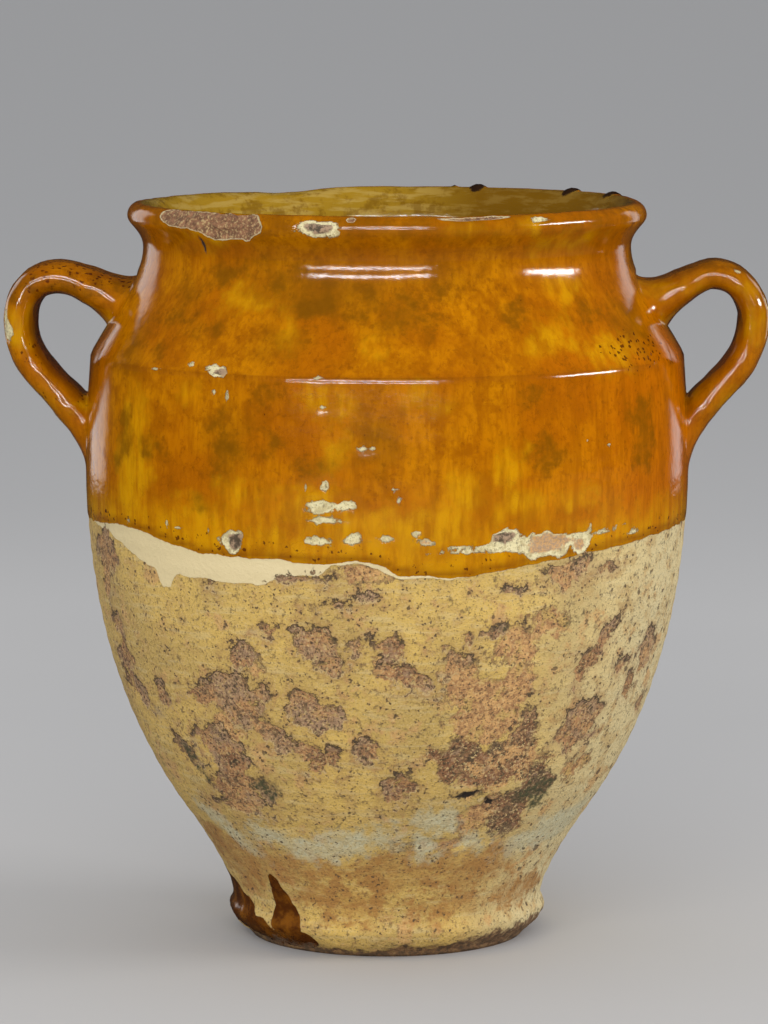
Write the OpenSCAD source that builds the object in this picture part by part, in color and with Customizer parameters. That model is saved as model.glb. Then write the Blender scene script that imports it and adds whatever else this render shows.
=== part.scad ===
// Glazed earthenware storage pot: a thrown body with a rolled rim and two pulled loop handles.
// One fired piece, in millimetres, +Z up, with the origin on the ground under its middle.
// Radii are measured from the pot's axis. The rises of the foot and flank add up from the ground,
// and those of the shoulder, neck and rim count down from the crest.

/* [Foot] */
// Radius of the ring the pot stands on
ground_r = 54; // [50:0.5:57]
// Radius of the foot at its widest
foot_r = 63.4; // [62:0.2:66]
// Height of the foot's widest line above the ground
foot_rise = 10.5; // [8:0.5:14]
// Radius of the waist just above the foot
waist_r = 61.6; // [58:0.2:62]
// Rise from the foot's widest line to the waist
waist_rise = 6; // [4:0.5:9]

/* [Body] */
// Height of the pot to the crest of its rim, most of it taken up by the belly
pot_h = 290; // [270:1:310]
// Radius low on the flank, where the wall opens out fastest
flank_r = 79.2; // [74:0.2:84]
// Rise from the waist to that line on the flank
flank_rise = 33.5; // [28:0.5:40]
// Lean of the flank there, in degrees from upright
flank_lean = 36; // [30:1:42]
// Radius of the belly at its widest
belly_r = 118.8; // [112:0.2:126]
// Radius of the turned line round the shoulder
line_r = 116.6; // [110:0.2:118]
// Rise from the belly's widest line to the turned line
line_rise = 43; // [36:1:50]
// Depth of the step cut at the turned line
line_step = 0.6; // [0.3:0.1:1.2]
// Lean of the shoulder above the turned line, in degrees from upright
shoulder_lean = 29; // [24:1:34]

/* [Neck and rim] */
// Radius of the neck at its narrowest
neck_r = 95.5; // [90:0.5:100]
// Rise from the turned line to the narrowest part of the neck
neck_rise = 41; // [36:1:48]
// How far the rolled rim stands out from the neck at its widest
bead_out = 6.1; // [4:0.1:9]
// Rise from the neck to the widest line of the rim
bead_rise = 12.7; // [11:0.1:16]
// How far the rim's crest line stands out from the neck
crest_out = 1.5; // [0:0.1:3]
// Rise from the widest line of the rim to its crest
crest_rise = 5.3; // [4:0.1:7]

/* [Wall] */
// Thickness of the thrown wall
wall_t = 9; // [7:0.5:11]
// Thickness of the base
base_t = 12; // [9:0.5:15]
// Radius of the flat part of the floor inside
floor_r = 36; // [28:1:42]

/* [Handles] */
// How far each handle stands out from the turned line
handle_out = 34.4; // [30:0.2:40]
// Height of the handle's top above the turned line
handle_top = 36.1; // [32:0.5:42]
// Thickness of the pulled strap
strap_t = 12.8; // [10:0.2:15]
// Width of the strap at the top of its loop
strap_w = 32; // [26:1:36]
// Distance from the outermost line of the loop back to its top
crown_back = 21; // [18:0.5:24]
// Height above the turned line at which the loop reaches out furthest
reach_rise = 13.5; // [10:0.5:18]
// Share of the way up the shoulder at which the upper root springs
root_share = 0.42; // [0.36:0.01:0.46]
// Climb of the strap out of its upper root, in degrees from level
root_climb = 25; // [18:1:32]
// Thickness of the upper root where it leaves the shoulder
root_t = 26.6; // [22:0.2:29]
// Width of the upper root where it leaves the shoulder
root_w = 42; // [34:1:46]
// Length over which the upper root thins to the strap
root_flare = 12; // [9:1:16]
// Drop from the turned line to the end of the lower root
tail_drop = 51; // [46:1:58]
// Thickness of the strap's end, pressed into the wall
tail_t = 6.5; // [5:0.5:6.5]
// Width of the strap's end
tail_w = 41; // [34:1:46]
// Length over which the strap thins to its end
tail_flare = 26; // [20:1:32]

/* [Rim scars] */
// Places of the chips knocked off the rim, in degrees round from the front
chip_turns = [-63, -49, -36, -15.6]; // [-180:0.1:180]
// Radii of the hollows they left
chip_radii = [62, 47, 38, 44]; // [20:1:90]
// Depths of the chips
chip_depths = [2.2, 3.5, 3.3, 0.8]; // [0.5:0.1:4]
// Places of the glaze lumps on the rim, in degrees round from the front
lump_turns = [110, 129, 157]; // [-180:1:180]
// Radii of the glaze lumps
lump_radii = [4, 4.5, 4]; // [3:0.1:5]
// Height that the lumps stand above the rim
lump_rise = 1.8; // [0.5:0.1:2.5]

/* [Hidden] */
glaze_colour = "#b8690f";
// Fineness of the turned surfaces and steps along each curve
$fn = 96;
steps = 7;
// Rings along each stretch of a handle and sides round its strap
strap_rings = 10;
strap_sides = 24;
// Fullness of the strap's section: 1 is an ellipse, and less is squarer
strap_fullness = 0.8;
waist_z = foot_rise + waist_rise;
flank_z = waist_z + flank_rise;
bead_z = pot_h - crest_rise;
neck_z = bead_z - bead_rise;
line_z = neck_z - neck_rise;
belly_z = line_z - line_rise;
bead_r = neck_r + bead_out;
crest_r = neck_r + crest_out;
handle_reach = line_r + handle_out;
crown_r = handle_reach - crown_back;
crown_z = line_z + handle_top - strap_t / 2;
reach_r = handle_reach - strap_t / 2;
tail_r = belly_r - wall_t / 2;
tail_z = line_z - tail_drop;
root_bury = wall_t / 2;
// Shares of a stretch's height over which its curve keeps the lean of each end
bevel_pull = [0.45, 0.5];
waist_pull = [0.4, 0.5];
flank_pull = [0.15, 0.45];
belly_pull = [0.35, 0.38];
line_pull = [0.42, 0.33];
neck_pull = [0.46, 0.27];
bead_pull = [0.56, 0.3];
lip_pull = 0.55;
floor_pull = 0.3;
// Lean of the bevel under the foot and of the wall at the turned line
bevel_lean = 53;
line_lean = -3;
// The same for the handle, as shares of each stretch's own reach
crown_pull = [0.4, 0.4];
reach_pull = [0.65, 0.27];
drop_pull = [0.45, 0.58];

// Direction of a wall that leans outward from upright by an angle
function leaning(angle) = [sin(angle), cos(angle)];

// Point on a cubic curve whose ends are a and d
function curve_point(a, b, c, d, t) =
    pow(1 - t, 3) * a + 3 * t * pow(1 - t, 2) * b + 3 * t * t * (1 - t) * c + pow(t, 3) * d;

// Points along a cubic curve, without its last one
function curve(a, b, c, d, count) = [for (i = [0:count - 1]) curve_point(a, b, c, d, i / count)];

// Control points of a stretch of wall between two places, with the lean that it has at each
function stretch(a, a_lean, b, b_lean, pull) =
    [a, a + (b.y - a.y) * pull[0] * leaning(a_lean), b - (b.y - a.y) * pull[1] * leaning(b_lean), b];

function along(s, count) = curve(s[0], s[1], s[2], s[3], count);

foot_edge = [foot_r, foot_rise];
waist = [waist_r, waist_z];
flank = [flank_r, flank_z];
belly = [belly_r, belly_z];
turned_line = [line_r, line_z];
neck = [neck_r, neck_z];
bead = [bead_r, bead_z];
crest = [crest_r, pot_h];
step_top = turned_line + line_step * [-1, 1];

bevel_curve = stretch([ground_r, 0], bevel_lean, foot_edge, 0, bevel_pull);
waist_curve = stretch(foot_edge, 0, waist, 0, waist_pull);
flank_curve = stretch(waist, 0, flank, flank_lean, flank_pull);
belly_curve = stretch(flank, flank_lean, belly, 0, belly_pull);
line_curve = stretch(belly, 0, turned_line, line_lean, line_pull);
shoulder_curve = stretch(step_top, -shoulder_lean, neck, 0, neck_pull);
bead_curve = stretch(neck, 0, bead, 0, bead_pull);
crest_curve = [bead, bead + [0, crest_rise * lip_pull], crest + [(bead_r - crest_r) * lip_pull, 0], crest];

// The wall's outside from the flank to the neck, which the inside follows
wall_outside = concat(
    along(belly_curve, 2 * steps), along(line_curve, steps),
    along(shoulder_curve, 2 * steps), [neck]
);

// The unit normal that points into the wall at point i of an outline that runs upward
function inward(points, i) =
    let (
        before = points[max(i - 1, 0)],
        after = points[min(i + 1, len(points) - 1)],
        run = (after - before) / norm(after - before)
    ) [-run.y, run.x];

wall_inside = [for (i = [0:len(wall_outside) - 1]) wall_outside[i] + wall_t * inward(wall_outside, i)];
neck_inside = [neck_r - wall_t, neck_z];
floor_start = wall_inside[0];
floor_curve = [
    [floor_r, base_t],
    [floor_r + floor_pull * flank_r, base_t],
    floor_start - floor_pull * flank_r * leaning(flank_lean),
    floor_start
];
lip_curve = [
    neck_inside,
    neck_inside + [0, lip_pull * (pot_h - neck_z)],
    crest - [lip_pull * (crest_r - neck_inside.x), 0],
    crest
];

outside = concat(
    along(bevel_curve, steps), along(waist_curve, steps), along(flank_curve, steps),
    along(belly_curve, 2 * steps), along(line_curve, steps), [turned_line],
    along(shoulder_curve, 2 * steps), along(bead_curve, steps), along(crest_curve, steps), [crest]
);

inside = concat(
    [[0, base_t]], along(floor_curve, steps),
    [for (i = [0:len(wall_inside) - 2]) wall_inside[i]], along(lip_curve, steps)
);

// The thrown body: its section, turned round the axis
module body() {
    rotate_extrude()
        polygon(concat([[0, 0]], outside, [for (i = [len(inside) - 1:-1:0]) inside[i]]));
}

// Where the strap springs from the shoulder, and the directions of its two ends
root = curve_point(shoulder_curve[0], shoulder_curve[1], shoulder_curve[2], shoulder_curve[3], root_share);
root_way = [cos(root_climb), sin(root_climb)];
root_start = root - root_bury * root_way;
crown = [crown_r, crown_z];
furthest = [reach_r, line_z + reach_rise];
tail = [tail_r, tail_z];

// The middle line of the strap in three curves, from its upper root to its pressed end
strap_line = concat(
    curve(
        root_start,
        root_start + (crown_r - root_start.x) * crown_pull[0] * root_way,
        crown - [(crown_r - root_start.x) * crown_pull[1], 0],
        crown, strap_rings
    ),
    curve(
        crown,
        crown + [(reach_r - crown_r) * reach_pull[0], 0],
        furthest + [0, (crown_z - furthest.y) * reach_pull[1]],
        furthest, strap_rings
    ),
    curve(
        furthest,
        furthest - [0, (furthest.y - tail_z) * drop_pull[0]],
        tail + [0, (furthest.y - tail_z) * drop_pull[1]],
        tail, 2 * strap_rings
    ),
    [tail]
);
ring_last = len(strap_line) - 1;
// Distance along the middle line of each ring
strap_run = [for (i = 0, run = 0; i <= ring_last;
    run = run + (i < ring_last ? norm(strap_line[i + 1] - strap_line[i]) : 0), i = i + 1) run];

// How far the strap has swelled towards its upper root, and how far it has thinned to its end
function root_swell(run) = pow(max(0, 1 - (run - root_bury) / root_flare), 2);
function tail_swell(run) = pow(max(0, 1 - (strap_run[ring_last] - run) / tail_flare), 2);

function strap_thickness(run) =
    strap_t + (root_t - strap_t) * root_swell(run) + (tail_t - strap_t) * tail_swell(run);
function strap_width(run) =
    strap_w + (root_w - strap_w) * min(1, root_swell(run)) + (tail_w - strap_w) * tail_swell(run);

function fuller(v) = sign(v) * pow(abs(v), strap_fullness);

// The ring of points round the strap at place i of its middle line
function strap_ring(i) =
    let (
        out = -inward(strap_line, i),
        half_t = strap_thickness(strap_run[i]) / 2,
        half_w = strap_width(strap_run[i]) / 2
    ) [for (k = [0:strap_sides - 1])
        let (turn = 360 * k / strap_sides, side = half_t * fuller(cos(turn)))
        [strap_line[i].x + side * out.x, half_w * fuller(sin(turn)), strap_line[i].y + side * out.y]];

// One pulled loop handle, on the pot's right
module handle() {
    points = [for (i = [0:ring_last]) each strap_ring(i)];
    skin = [for (i = [0:ring_last - 1], k = [0:strap_sides - 1])
        let (next = (k + 1) % strap_sides, low = i * strap_sides, high = low + strap_sides)
        each [[low + k, high + k, high + next], [low + k, high + next, low + next]]];
    first_cap = [for (k = [0:strap_sides - 1]) k];
    last_cap = [for (k = [strap_sides - 1:-1:0]) ring_last * strap_sides + k];
    polyhedron(points, concat(skin, [first_cap, last_cap]));
}

// Turns what it holds from the right of the pot to a place round from the front
module round_from_front(turn) {
    rotate([0, 0, turn - 90])
        children();
}

// The scar of one chip: a shallow shell-shaped hollow in the rim's outer face
module chip(radius, depth) {
    translate([bead_r - depth + radius, 0, bead_z])
        sphere(r = radius);
}

// One lump of glaze that ran together on the crest of the rim
module lump(radius) {
    translate([crest_r, 0, pot_h + lump_rise - radius])
        sphere(r = radius);
}

module pot() {
    color(glaze_colour)
        difference() {
            union() {
                body();
                handle();
                mirror([1, 0, 0])
                    handle();
                for (i = [0:len(lump_turns) - 1])
                    round_from_front(lump_turns[i])
                        lump(lump_radii[i]);
            }
            for (i = [0:len(chip_turns) - 1])
                round_from_front(chip_turns[i])
                    chip(chip_radii[i], chip_depths[i]);
        }
}

pot();
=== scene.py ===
import functools
import math
import random

import bmesh
import bpy
import numpy as np
from bpy.props import FloatProperty, FloatVectorProperty, PointerProperty
from mathutils import Euler, Matrix, Vector, noise


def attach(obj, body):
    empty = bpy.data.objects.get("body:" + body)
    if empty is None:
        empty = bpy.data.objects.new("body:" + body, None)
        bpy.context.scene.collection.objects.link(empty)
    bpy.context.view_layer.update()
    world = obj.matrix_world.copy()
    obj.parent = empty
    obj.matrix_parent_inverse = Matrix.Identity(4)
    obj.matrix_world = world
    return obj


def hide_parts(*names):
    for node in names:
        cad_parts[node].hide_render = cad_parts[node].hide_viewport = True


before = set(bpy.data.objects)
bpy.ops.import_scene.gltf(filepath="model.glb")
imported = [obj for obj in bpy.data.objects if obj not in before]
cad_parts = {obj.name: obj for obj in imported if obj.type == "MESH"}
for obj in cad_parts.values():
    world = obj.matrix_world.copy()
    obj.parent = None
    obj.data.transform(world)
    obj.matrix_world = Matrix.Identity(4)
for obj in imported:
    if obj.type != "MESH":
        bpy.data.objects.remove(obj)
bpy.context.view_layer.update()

bl_info = {
    "name": "Glazed Storage Pot",
    "version": (1, 0, 0),
    "blender": (4, 5, 0),
    "location": "View3D > Sidebar > Pot",
    "description": "Makes a worn lead-glazed storage pot with two pulled loop handles",
    "category": "Add Mesh",
}

MM = 0.001
PIECE = "pot_fired"

# Fineness of the mesh: columns round the pot, and the most that its rows stand apart
COLUMNS = 384
FOOT_STEP = 1.5 * MM
SLIP_STEP = 2.0 * MM
GLAZE_STEP = 2.2 * MM
RIM_STEP = 1.1 * MM
LIP_STEP = 1.5 * MM
INSIDE_STEP = 14 * MM
UNDER_STEP = 16 * MM
STRAP_STEP = 1.9 * MM
CURVE_SAMPLES = 80

# How far each end of a stretch of the section keeps its lean, as shares of its rise
PULLS = {
    "foot": (0.75, 0.28), "waist": (0.4, 0.5), "flank": (0.15, 0.45), "belly": (0.35, 0.38),
    "line": (0.42, 0.33), "shoulder": (0.46, 0.27), "neck": (0.56, 0.3),
}
LIP_PULL = 0.55
FLOOR_PULL = 0.3
FOOT_LEAN = math.radians(53)
LINE_LEAN = math.radians(-3)

# Patches of the wall that the handles grow out of, in columns and rows of the mesh
UPPER_PATCH = (28, 12)
LOWER_PATCH = (22, 18)
# How far round a patch the wall's mesh bends to its oval, and the rings from each oval to the strap
PATCH_REACH = 1.2
UPPER_RINGS = 11
LOWER_RINGS = 14
# How full a strap's section is, where 1 is a plain oval and less is squarer
STRAP_FULLNESS = 0.8
# The wall that can hold a root is wider than this radius
ROOT_WALL = 90 * MM
# How deep in the wall the strap's middle line starts, how far along it the strap stands clear, and the
# height at which it meets the wall again
ROOT_BURY = 4.5 * MM
ROOT_CLEAR = 17.5 * MM
TAIL_CLEAR = 210.3 * MM
# Over what length a strap swells into its upper root and is pressed out at its end, and by what
# shares it thickens and widens at the two
SWELL_LENGTH = 10 * MM
PRESS_LENGTH = 12 * MM
THICKENED = (0.1, 0.05)
WIDENED = (0.12, 0.08)
# How far the skin keeps the wall's way where it leaves it, what the top of the root adds to that, and
# how far it keeps the strap's way
UPPER_BLEND = (0.36, 0.2, 0.4)
LOWER_BLEND = (0.3, 0, 0.42)
# How far each end of the strap's three curves keeps its way, left handle first, in millimetres
STRAP_PULLS = ((6.4, 8.7, 11.8, 5.8, 27.3, 35.6), (7.1, 4.4, 14.6, 0.5, 31.5, 40))

# Worn places, each as (turn from the front in degrees, height, half width and half height in
# millimetres, and a tilt in degrees if it has one). Dark flakes show pink-brown clay.
DARK_FLAKES = (
    (-67, 159, 10, 7.3, 10), (-63, 155, 4.5, 4.8), (-68, 146, 6, 7.6), (-65, 128, 5, 5), (-66, 116, 8.4, 7),
    (-63, 103, 12, 5, -35), (-52, 104, 3.6, 5.6, 15), (-28, 125, 5.4, 4.9), (-21, 136, 4.5, 2.8),
    (-35, 110, 14.7, 4.4, 12), (-30, 103, 8.8, 7.8), (-38, 107, 7.3, 5.6), (-25, 110, 4.3, 3.6),
    (-39, 86, 8.4, 11), (-25, 95, 6.8, 4.6), (-21, 90, 4.4, 3.8), (-15, 105, 7, 7.8), (-11, 103, 7, 5.8),
    (-36, 71, 15, 7.8), (-29, 71, 5, 5), (-35, 80, 6.5, 8), (-16, 88, 5.3, 5), (-2, 89, 4.6, 4.6),
    (-10, 85, 3, 5), (-14, 82, 5, 3.6), (-50, 80, 7.2, 5.6, -40), (-43, 89, 3.8, 4.6), (-37, 62, 13, 5),
    (-12, 131, 10, 5.3, -25), (-9, 123, 4, 4), (2, 131, 6.3, 4, -25), (-4, 130, 3.4, 4), (2, 121, 4, 4.5),
    (-14, 156, 8.2, 1.6), (-2, 149, 2.3, 1.2), (-8, 146, 3.9, 1.1), (-33, 152, 2.3, 1.1, -20),
    (12.5, 130, 2.6, 1.6), (15, 124, 3.8, 5.2, -30), (17, 133, 2.9, 2.9), (23, 135, 7, 1.9, 10),
    (6, 118, 10, 4.5, -20), (37, 155, 7.3, 5.3), (41, 158, 5, 2.4), (49, 128, 7.6, 3.4, 50),
    (46, 120, 3.7, 4.5), (43, 116, 3.3, 5.7), (57, 116, 4.8, 3), (62, 106, 3.6, 6), (67, 119, 6.7, 7),
    (74, 96, 5, 5), (49, 99, 7.6, 4.5), (47, 92, 11.4, 7.6), (47, 86, 4, 4), (32, 94, 5, 10.7),
    (32, 114, 3.2, 2.6), (25, 150, 3.9, 1.4), (47, 156, 3.4, 2.1), (3, 71, 4.6, 7.4), (6, 75, 2.9, 4.4),
)
# Paler flakes, where the clay under the slip is salmon and fairly smooth
SALMON_FLAKES = (
    (34, 137, 8.8, 5.9), (28, 129, 10.4, 6.4, 15), (29, 113, 9, 8.6), (23, 108, 14, 10.3),
    (22, 98, 15.3, 7.8), (30, 83, 16, 10), (2, 121, 6.8, 5.9), (51, 76, 8, 4.6, 30), (-2, 158, 9.6, 3.8),
    (-35, 93, 8.8, 8.5), (16, 116, 7, 9), (18, 48, 14, 3.3), (25, 58, 6.6, 9.8), (-25, 119, 3.9, 5),
)
ROUGH_PATCHES = (
    (24.9, 77.8, 13.6, 8.5), (19.8, 84.6, 11.6, 6.7), (30.5, 64.2, 8.6, 6.3), (27, 80, 17, 7.2),
)
CRACKS = (
    (21.1, 69.3, 6.4, 1.2, 8), (25.9, 67.6, 3.4, 0.9, -15), (27.6, 65, 1.7, 1.2, -40),
    (-44.2, 278, 0.8, 5, 4),
)
# The darkest places round them, and a pale stone in the crack
DARK_PATCHES = (
    (17.3, 88.2, 9.3, 4.3), (16.1, 80.8, 5.5, 4.8), (25.2, 88.2, 5.5, 3.8, 10), (31.1, 81, 4.8, 1.9),
    (33.1, 93.1, 4.3, 7.4, 15), (39, 71.2, 10.6, 9.2, 25), (34.5, 65.7, 8.7, 6.3, 25),
    (35.1, 56, 6.8, 8.1, 25), (41.3, 74.9, 4.9, 4.6), (-36, 82, 4, 4),
)
STONES = ((25.1, 66.7, 1.9, 1.6),)
MOSSY = (
    (-50, 80, 6, 5.6, -40), (-48, 75, 2.3, 6.5, 15), (-29, 71, 7.3, 5), (40, 68, 10, 8.6),
    (41, 137, 4.2, 2.3), (25, 136, 3.5, 1.2),
)
BLOOM = (
    (-33, 51, 8.9, 5.3), (-20, 46, 15.8, 7.4), (-7, 49, 12, 6.7), (-51, 51, 14.4, 4.8, -40),
    (-45, 43, 7.7, 3.4, -40), (0, 54, 7, 5), (12, 48, 7.2, 8.4), (15, 59, 9.6, 6.7), (26, 47, 7.9, 5.7),
    (52, 48, 19, 8.2, 20), (64, 51, 16.8, 8.4, 30),
)
ORANGE_WEAR = (
    (-26.4, 36.7, 28.8, 9), (2.6, 35, 23, 11), (28.3, 36.9, 26.3, 11.8), (-11.3, 21.9, 19.9, 7.8),
    (-53.5, 34.4, 13.9, 18.5, -60), (56.1, 22.7, 23.6, 7.5), (26.3, 21, 21.7, 6.7), (-62, 40, 12, 14, -50),
    (-19, 25, 22, 8),
)
# Chips through the glaze to the cream slip, and those that go on into the clay
GLAZE_CHIPS = (
    (-13, 285, 8.2, 4.1), (36.5, 287.8, 3.4, 1.8), (-32, 232, 5, 2.6), (-38, 234, 2, 1),
    (-47, 231, 2.3, 0.5), (-32, 224, 1.1, 1.6), (-29, 223, 0.8, 2.2), (-11, 231, 1.9, 0.7),
    (-10, 220, 1.6, 1.2), (-3, 205, 1.5, 1.2), (-1, 205, 1.4, 0.9), (-9.5, 191, 1.9, 2.2),
    (-13, 190, 0.6, 1.3), (-10.4, 183.3, 5.6, 2.5), (-5.7, 183.8, 5, 2.2, 8), (-9.5, 178.3, 6.8, 1.5),
    (-28, 169, 5.4, 4), (-10.8, 170.5, 5, 2), (-4.5, 171.2, 4, 1.9, 10), (1.3, 171.6, 3.7, 1.2),
    (-55, 172, 1, 1.4), (-43, 173, 0.9, 1.7), (-40, 172, 1.7, 0.5), (-33, 172, 0.5, 0.9),
    (3, 190, 1.9, 1, -30), (4, 187, 0.8, 1.7, -20), (7, 173, 2, 1.3), (9, 170, 3, 1.3),
    (16.8, 166.9, 13.1, 1.3, 2), (22.5, 167.2, 8.4, 1.8, 3), (26.4, 168, 5.3, 2.5), (23.5, 171.3, 6.3, 3.4),
    (33.3, 167.6, 13.5, 4.8), (40.2, 167, 5.7, 5), (41.7, 173.3, 0.8, 3.1), (45.7, 170.4, 8.1, 1, 8),
    (54.2, 168.3, 3.5, 1.3), (48, 171, 1.1, 0.7), (41, 206, 1.1, 1.1), (47, 203, 1.1, 0.7),
)
CLAY_CHIPS = (
    (33.3, 168.2, 10.1, 3.5), (39.5, 166.1, 2.9, 2.2), (-31, 232, 2.9, 1.6), (9, 170, 2.2, 0.9),
)
HOLES = (
    (23.2, 171.3, 5, 2.3), (-27.2, 169, 3.9, 3), (-13, 285, 5.6, 2.5), (-31.3, 232, 3, 1.5),
)
# Clouds in the glaze: a broad smoky one, olive-brown where iron gathered, and yellow where it runs thin
SMOKY = (
    (-12, 262, 34, 13), (-28, 271, 16, 7), (12, 268, 18, 6), (-29, 204, 9, 13), (0, 208, 9, 12),
    (0, 286, 120, 7), (62, 245, 14, 12), (-58, 237, 9, 12), (-48, 259, 8, 7), (3, 252, 11, 7),
    (-20, 243, 9, 6), (-21, 279, 15, 4), (-15, 262, 7, 5),
)
BROWN_CLOUDS = (
    (-47, 249, 9, 2.4), (-39, 247, 9, 3), (-49, 237, 4, 3.4), (-14, 257, 8, 6), (-21, 267, 9.2, 4.6),
    (-36, 267, 13, 3.6, 15), (-1, 256, 7.4, 5.9), (4, 256, 8.8, 4.6), (8, 251, 6, 3.7), (29, 253, 5.9, 4.4),
    (13, 261, 3.8, 2.5), (49, 252, 6.5, 3.3), (-57, 204, 6.4, 10.2), (-30, 203, 3.8, 9),
    (-34, 181, 4.8, 3.5), (-20, 224, 4.6, 3.8), (-20, 207, 3.8, 3.7), (-11, 198, 7.7, 3.8),
    (-47, 201, 7.5, 3.1), (32, 201, 8, 5), (57, 205, 9, 13), (28, 224, 5, 3.7), (90, 267, 15, 3.4),
    (-83, 256, 9, 4.5),
)
YELLOW_CLOUDS = (
    (-30, 257, 11, 6.5), (-19, 249, 1.9, 5.8, 15), (-43, 275, 2.4, 3.7), (-1, 242, 3.3, 3.8),
    (35, 286, 3.8, 3.9), (37, 276, 1.9, 3.4), (19, 285, 4.6, 1.9), (38, 244, 9.5, 6.9), (8, 225, 7.2, 3.6),
    (10, 221, 3.2, 1.8), (24, 197, 5.8, 8.1), (-26, 187, 8.5, 6.2), (11, 184, 3, 1.9), (-38, 223, 3.8, 3),
    (-10, 171, 2.9, 2.9), (39, 184, 8.5, 3.8), (-8, 201, 4.6, 6.9), (-53, 195, 12, 26), (-9, 222, 9, 6),
    (-41, 280, 12, 3.4), (50, 237, 17, 7), (-12, 183, 15, 9), (10, 176, 20, 9), (-35, 178, 12, 6),
    (26, 183, 12, 7), (-20, 170, 13, 5), (-4, 176, 11, 6), (16, 188, 9, 7), (34, 240, 9, 5),
    (44, 262, 8, 6), (47, 279, 12, 3.6), (-85, 242, 8, 9), (-86, 209, 7, 7), (86, 243, 8, 9),
    (86, 214, 8, 7), (84, 257, 8, 3),
)
SPECKLED = ((60, 237, 27, 9), (-28, 166, 22, 4), (-90, 262, 24, 12), (-90, 232, 20, 8))
# Scars of the rim, with a last number for how deep each goes in millimetres, and how ragged they are
RIM_SCARS = (
    (-49.6, 288, 13.5, 5, 2.2), (-35.6, 286, 17, 8, 3.2), (-43.2, 287, 9, 5, 2.2), (-6, 289, 2, 1.6, 0.6),
    (21, 289.4, 15, 1.3, 0.6),
)
SCAR_RAGGED = 0.1
# Lumps of burnt glaze on the rim, as (turn, radius, how far each stands over the rim)
RIM_LUMPS = ((113.3, 4.8, 1.65), (130.9, 5.4, 1.7), (158.9, 5, 1.75), (165, 2.4, 1.1))
# How much the crest rises from level, as (turn, rise)
RIM_RISE = (
    (-180, 0.3), (-172, 0.3), (-166, 0), (-161, -0.8), (-156, -1.6), (-150, -1.9), (-145, -1.2),
    (-135, -0.7), (-105, -0.7), (-85, -0.3), (0, -0.3), (10, -0.2), (17, -0.9), (25, -0.3), (95, -0.2),
    (108, 0.2), (120, 0.4), (170, 0.4),
)
FOOT_GLAZE = (
    (-40.2, 27, 2.6, 5.5, 8), (-39, 20, 4.6, 8, 10), (-37.5, 12, 7.5, 9, 12), (-34.5, 5, 9.5, 6),
    (-45, 4, 14, 5), (-54, 6.5, 12, 7, -10), (-64, 11, 12, 9, -16), (-77, 16, 15, 11, -12),
)
# How high up the foot its glaze and slip are worn away, as (turn, height)
FOOT_WEAR = ((-180, 5), (-60, 3), (-20, 2.5), (20, 4), (45, 7), (75, 9), (120, 6))

# Lower edges of the glaze and of the clean cream slip under it, as (turn, height) round the pot
GLAZE_EDGE = (
    (-180, 164), (-160, 161), (-140, 165), (-120, 168), (-100, 166.5), (-76, 167), (-57, 169.6),
    (-47.5, 167.8), (-41, 164.9), (-34.6, 162.6), (-27.7, 162.8), (-21.2, 163.3), (-14.8, 162),
    (-8.9, 161.6), (-3.7, 163), (1.1, 161.1), (3.8, 158.1), (10.9, 156.6), (18, 157.1), (23.5, 158.8),
    (35.6, 161.8), (50, 163.8), (61.6, 165.5), (79, 166.5), (100, 166), (122, 161), (140, 163), (160, 167),
)
SLIP_EDGE = (
    (-180, 158), (-165, 150), (-150, 157), (-125, 172), (-100, 172), (-62, 165), (-55.3, 160),
    (-49.7, 156.6), (-47, 155.5), (-45.6, 148.5), (-43, 148.8), (-41.7, 154.2), (-35.2, 153.7),
    (-27.9, 153), (-22.1, 152.6), (-19.1, 155.9), (-14.8, 157.1), (-10.9, 156.8), (-8.9, 160.9), (-3, 162),
    (4, 157), (12, 156), (24, 158.5), (40, 166), (100, 172), (115, 158), (135, 155), (155, 170),
)
# Chips on the outer side of the handles, as (x, y, height, reach) in millimetres
STRAP_CHIPS = (
    (-148, -12.5, 240, 4.4), (-148.4, -11, 245, 2.6), (149, -6, 250, 4.5), (136, -12, 262, 2.2),
    (-122, -14, 220, 1.8),
)
# Each kind of mark: its places and how ragged its edge is, and for those strewn over the back how
# many, the seed, the range of heights and the range of half widths
MARKS = {
    "flake": (DARK_FLAKES, 0.35, 84, 11, (50, 152), (2.5, 16)),
    "salmon": (SALMON_FLAKES, 0.35, 16, 12, (50, 150), (5, 15)),
    "rough": (ROUGH_PATCHES, 0.35, 4, 13, (60, 95), (7, 14)),
    "dark": (DARK_PATCHES, 0.4, 4, 24, (60, 95), (4, 9)),
    "crack": (CRACKS, 0.3),
    "stone": (STONES, 0.1),
    "mossy": (MOSSY, 0.35, 5, 15, (60, 140), (3, 9)),
    "bloom": (BLOOM, 0.5, 11, 16, (42, 58), (7, 18)),
    "orange_wear": (ORANGE_WEAR, 0.5, 7, 17, (24, 44), (6, 13)),
    "chip": (GLAZE_CHIPS, 0.3, 26, 18, (165, 235), (0.7, 5)),
    "clay_chip": (CLAY_CHIPS, 0.3, 4, 19, (165, 235), (2, 4)),
    "hole": (HOLES, 0.3),
    "smoky": (SMOKY, 0.5, 5, 25, (185, 270), (12, 30)),
    "brown": (BROWN_CLOUDS, 0.5, 22, 20, (170, 270), (4, 14)),
    "yellow": (YELLOW_CLOUDS, 0.5, 18, 21, (168, 285), (3, 9)),
    "speckled": (SPECKLED, 0.5, 6, 22, (168, 250), (10, 25)),
    "foot_glaze": (FOOT_GLAZE, 0.08, 3, 23, (6, 14), (7, 16)),
}
BACK_TURNS = (85, 275)
# How far out a distance to a mark is kept, in millimetres
FAR = 20.0
# Middle of each handle's loop, as radius and height in millimetres
LOOP_MIDDLE = (124, 243)

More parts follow.
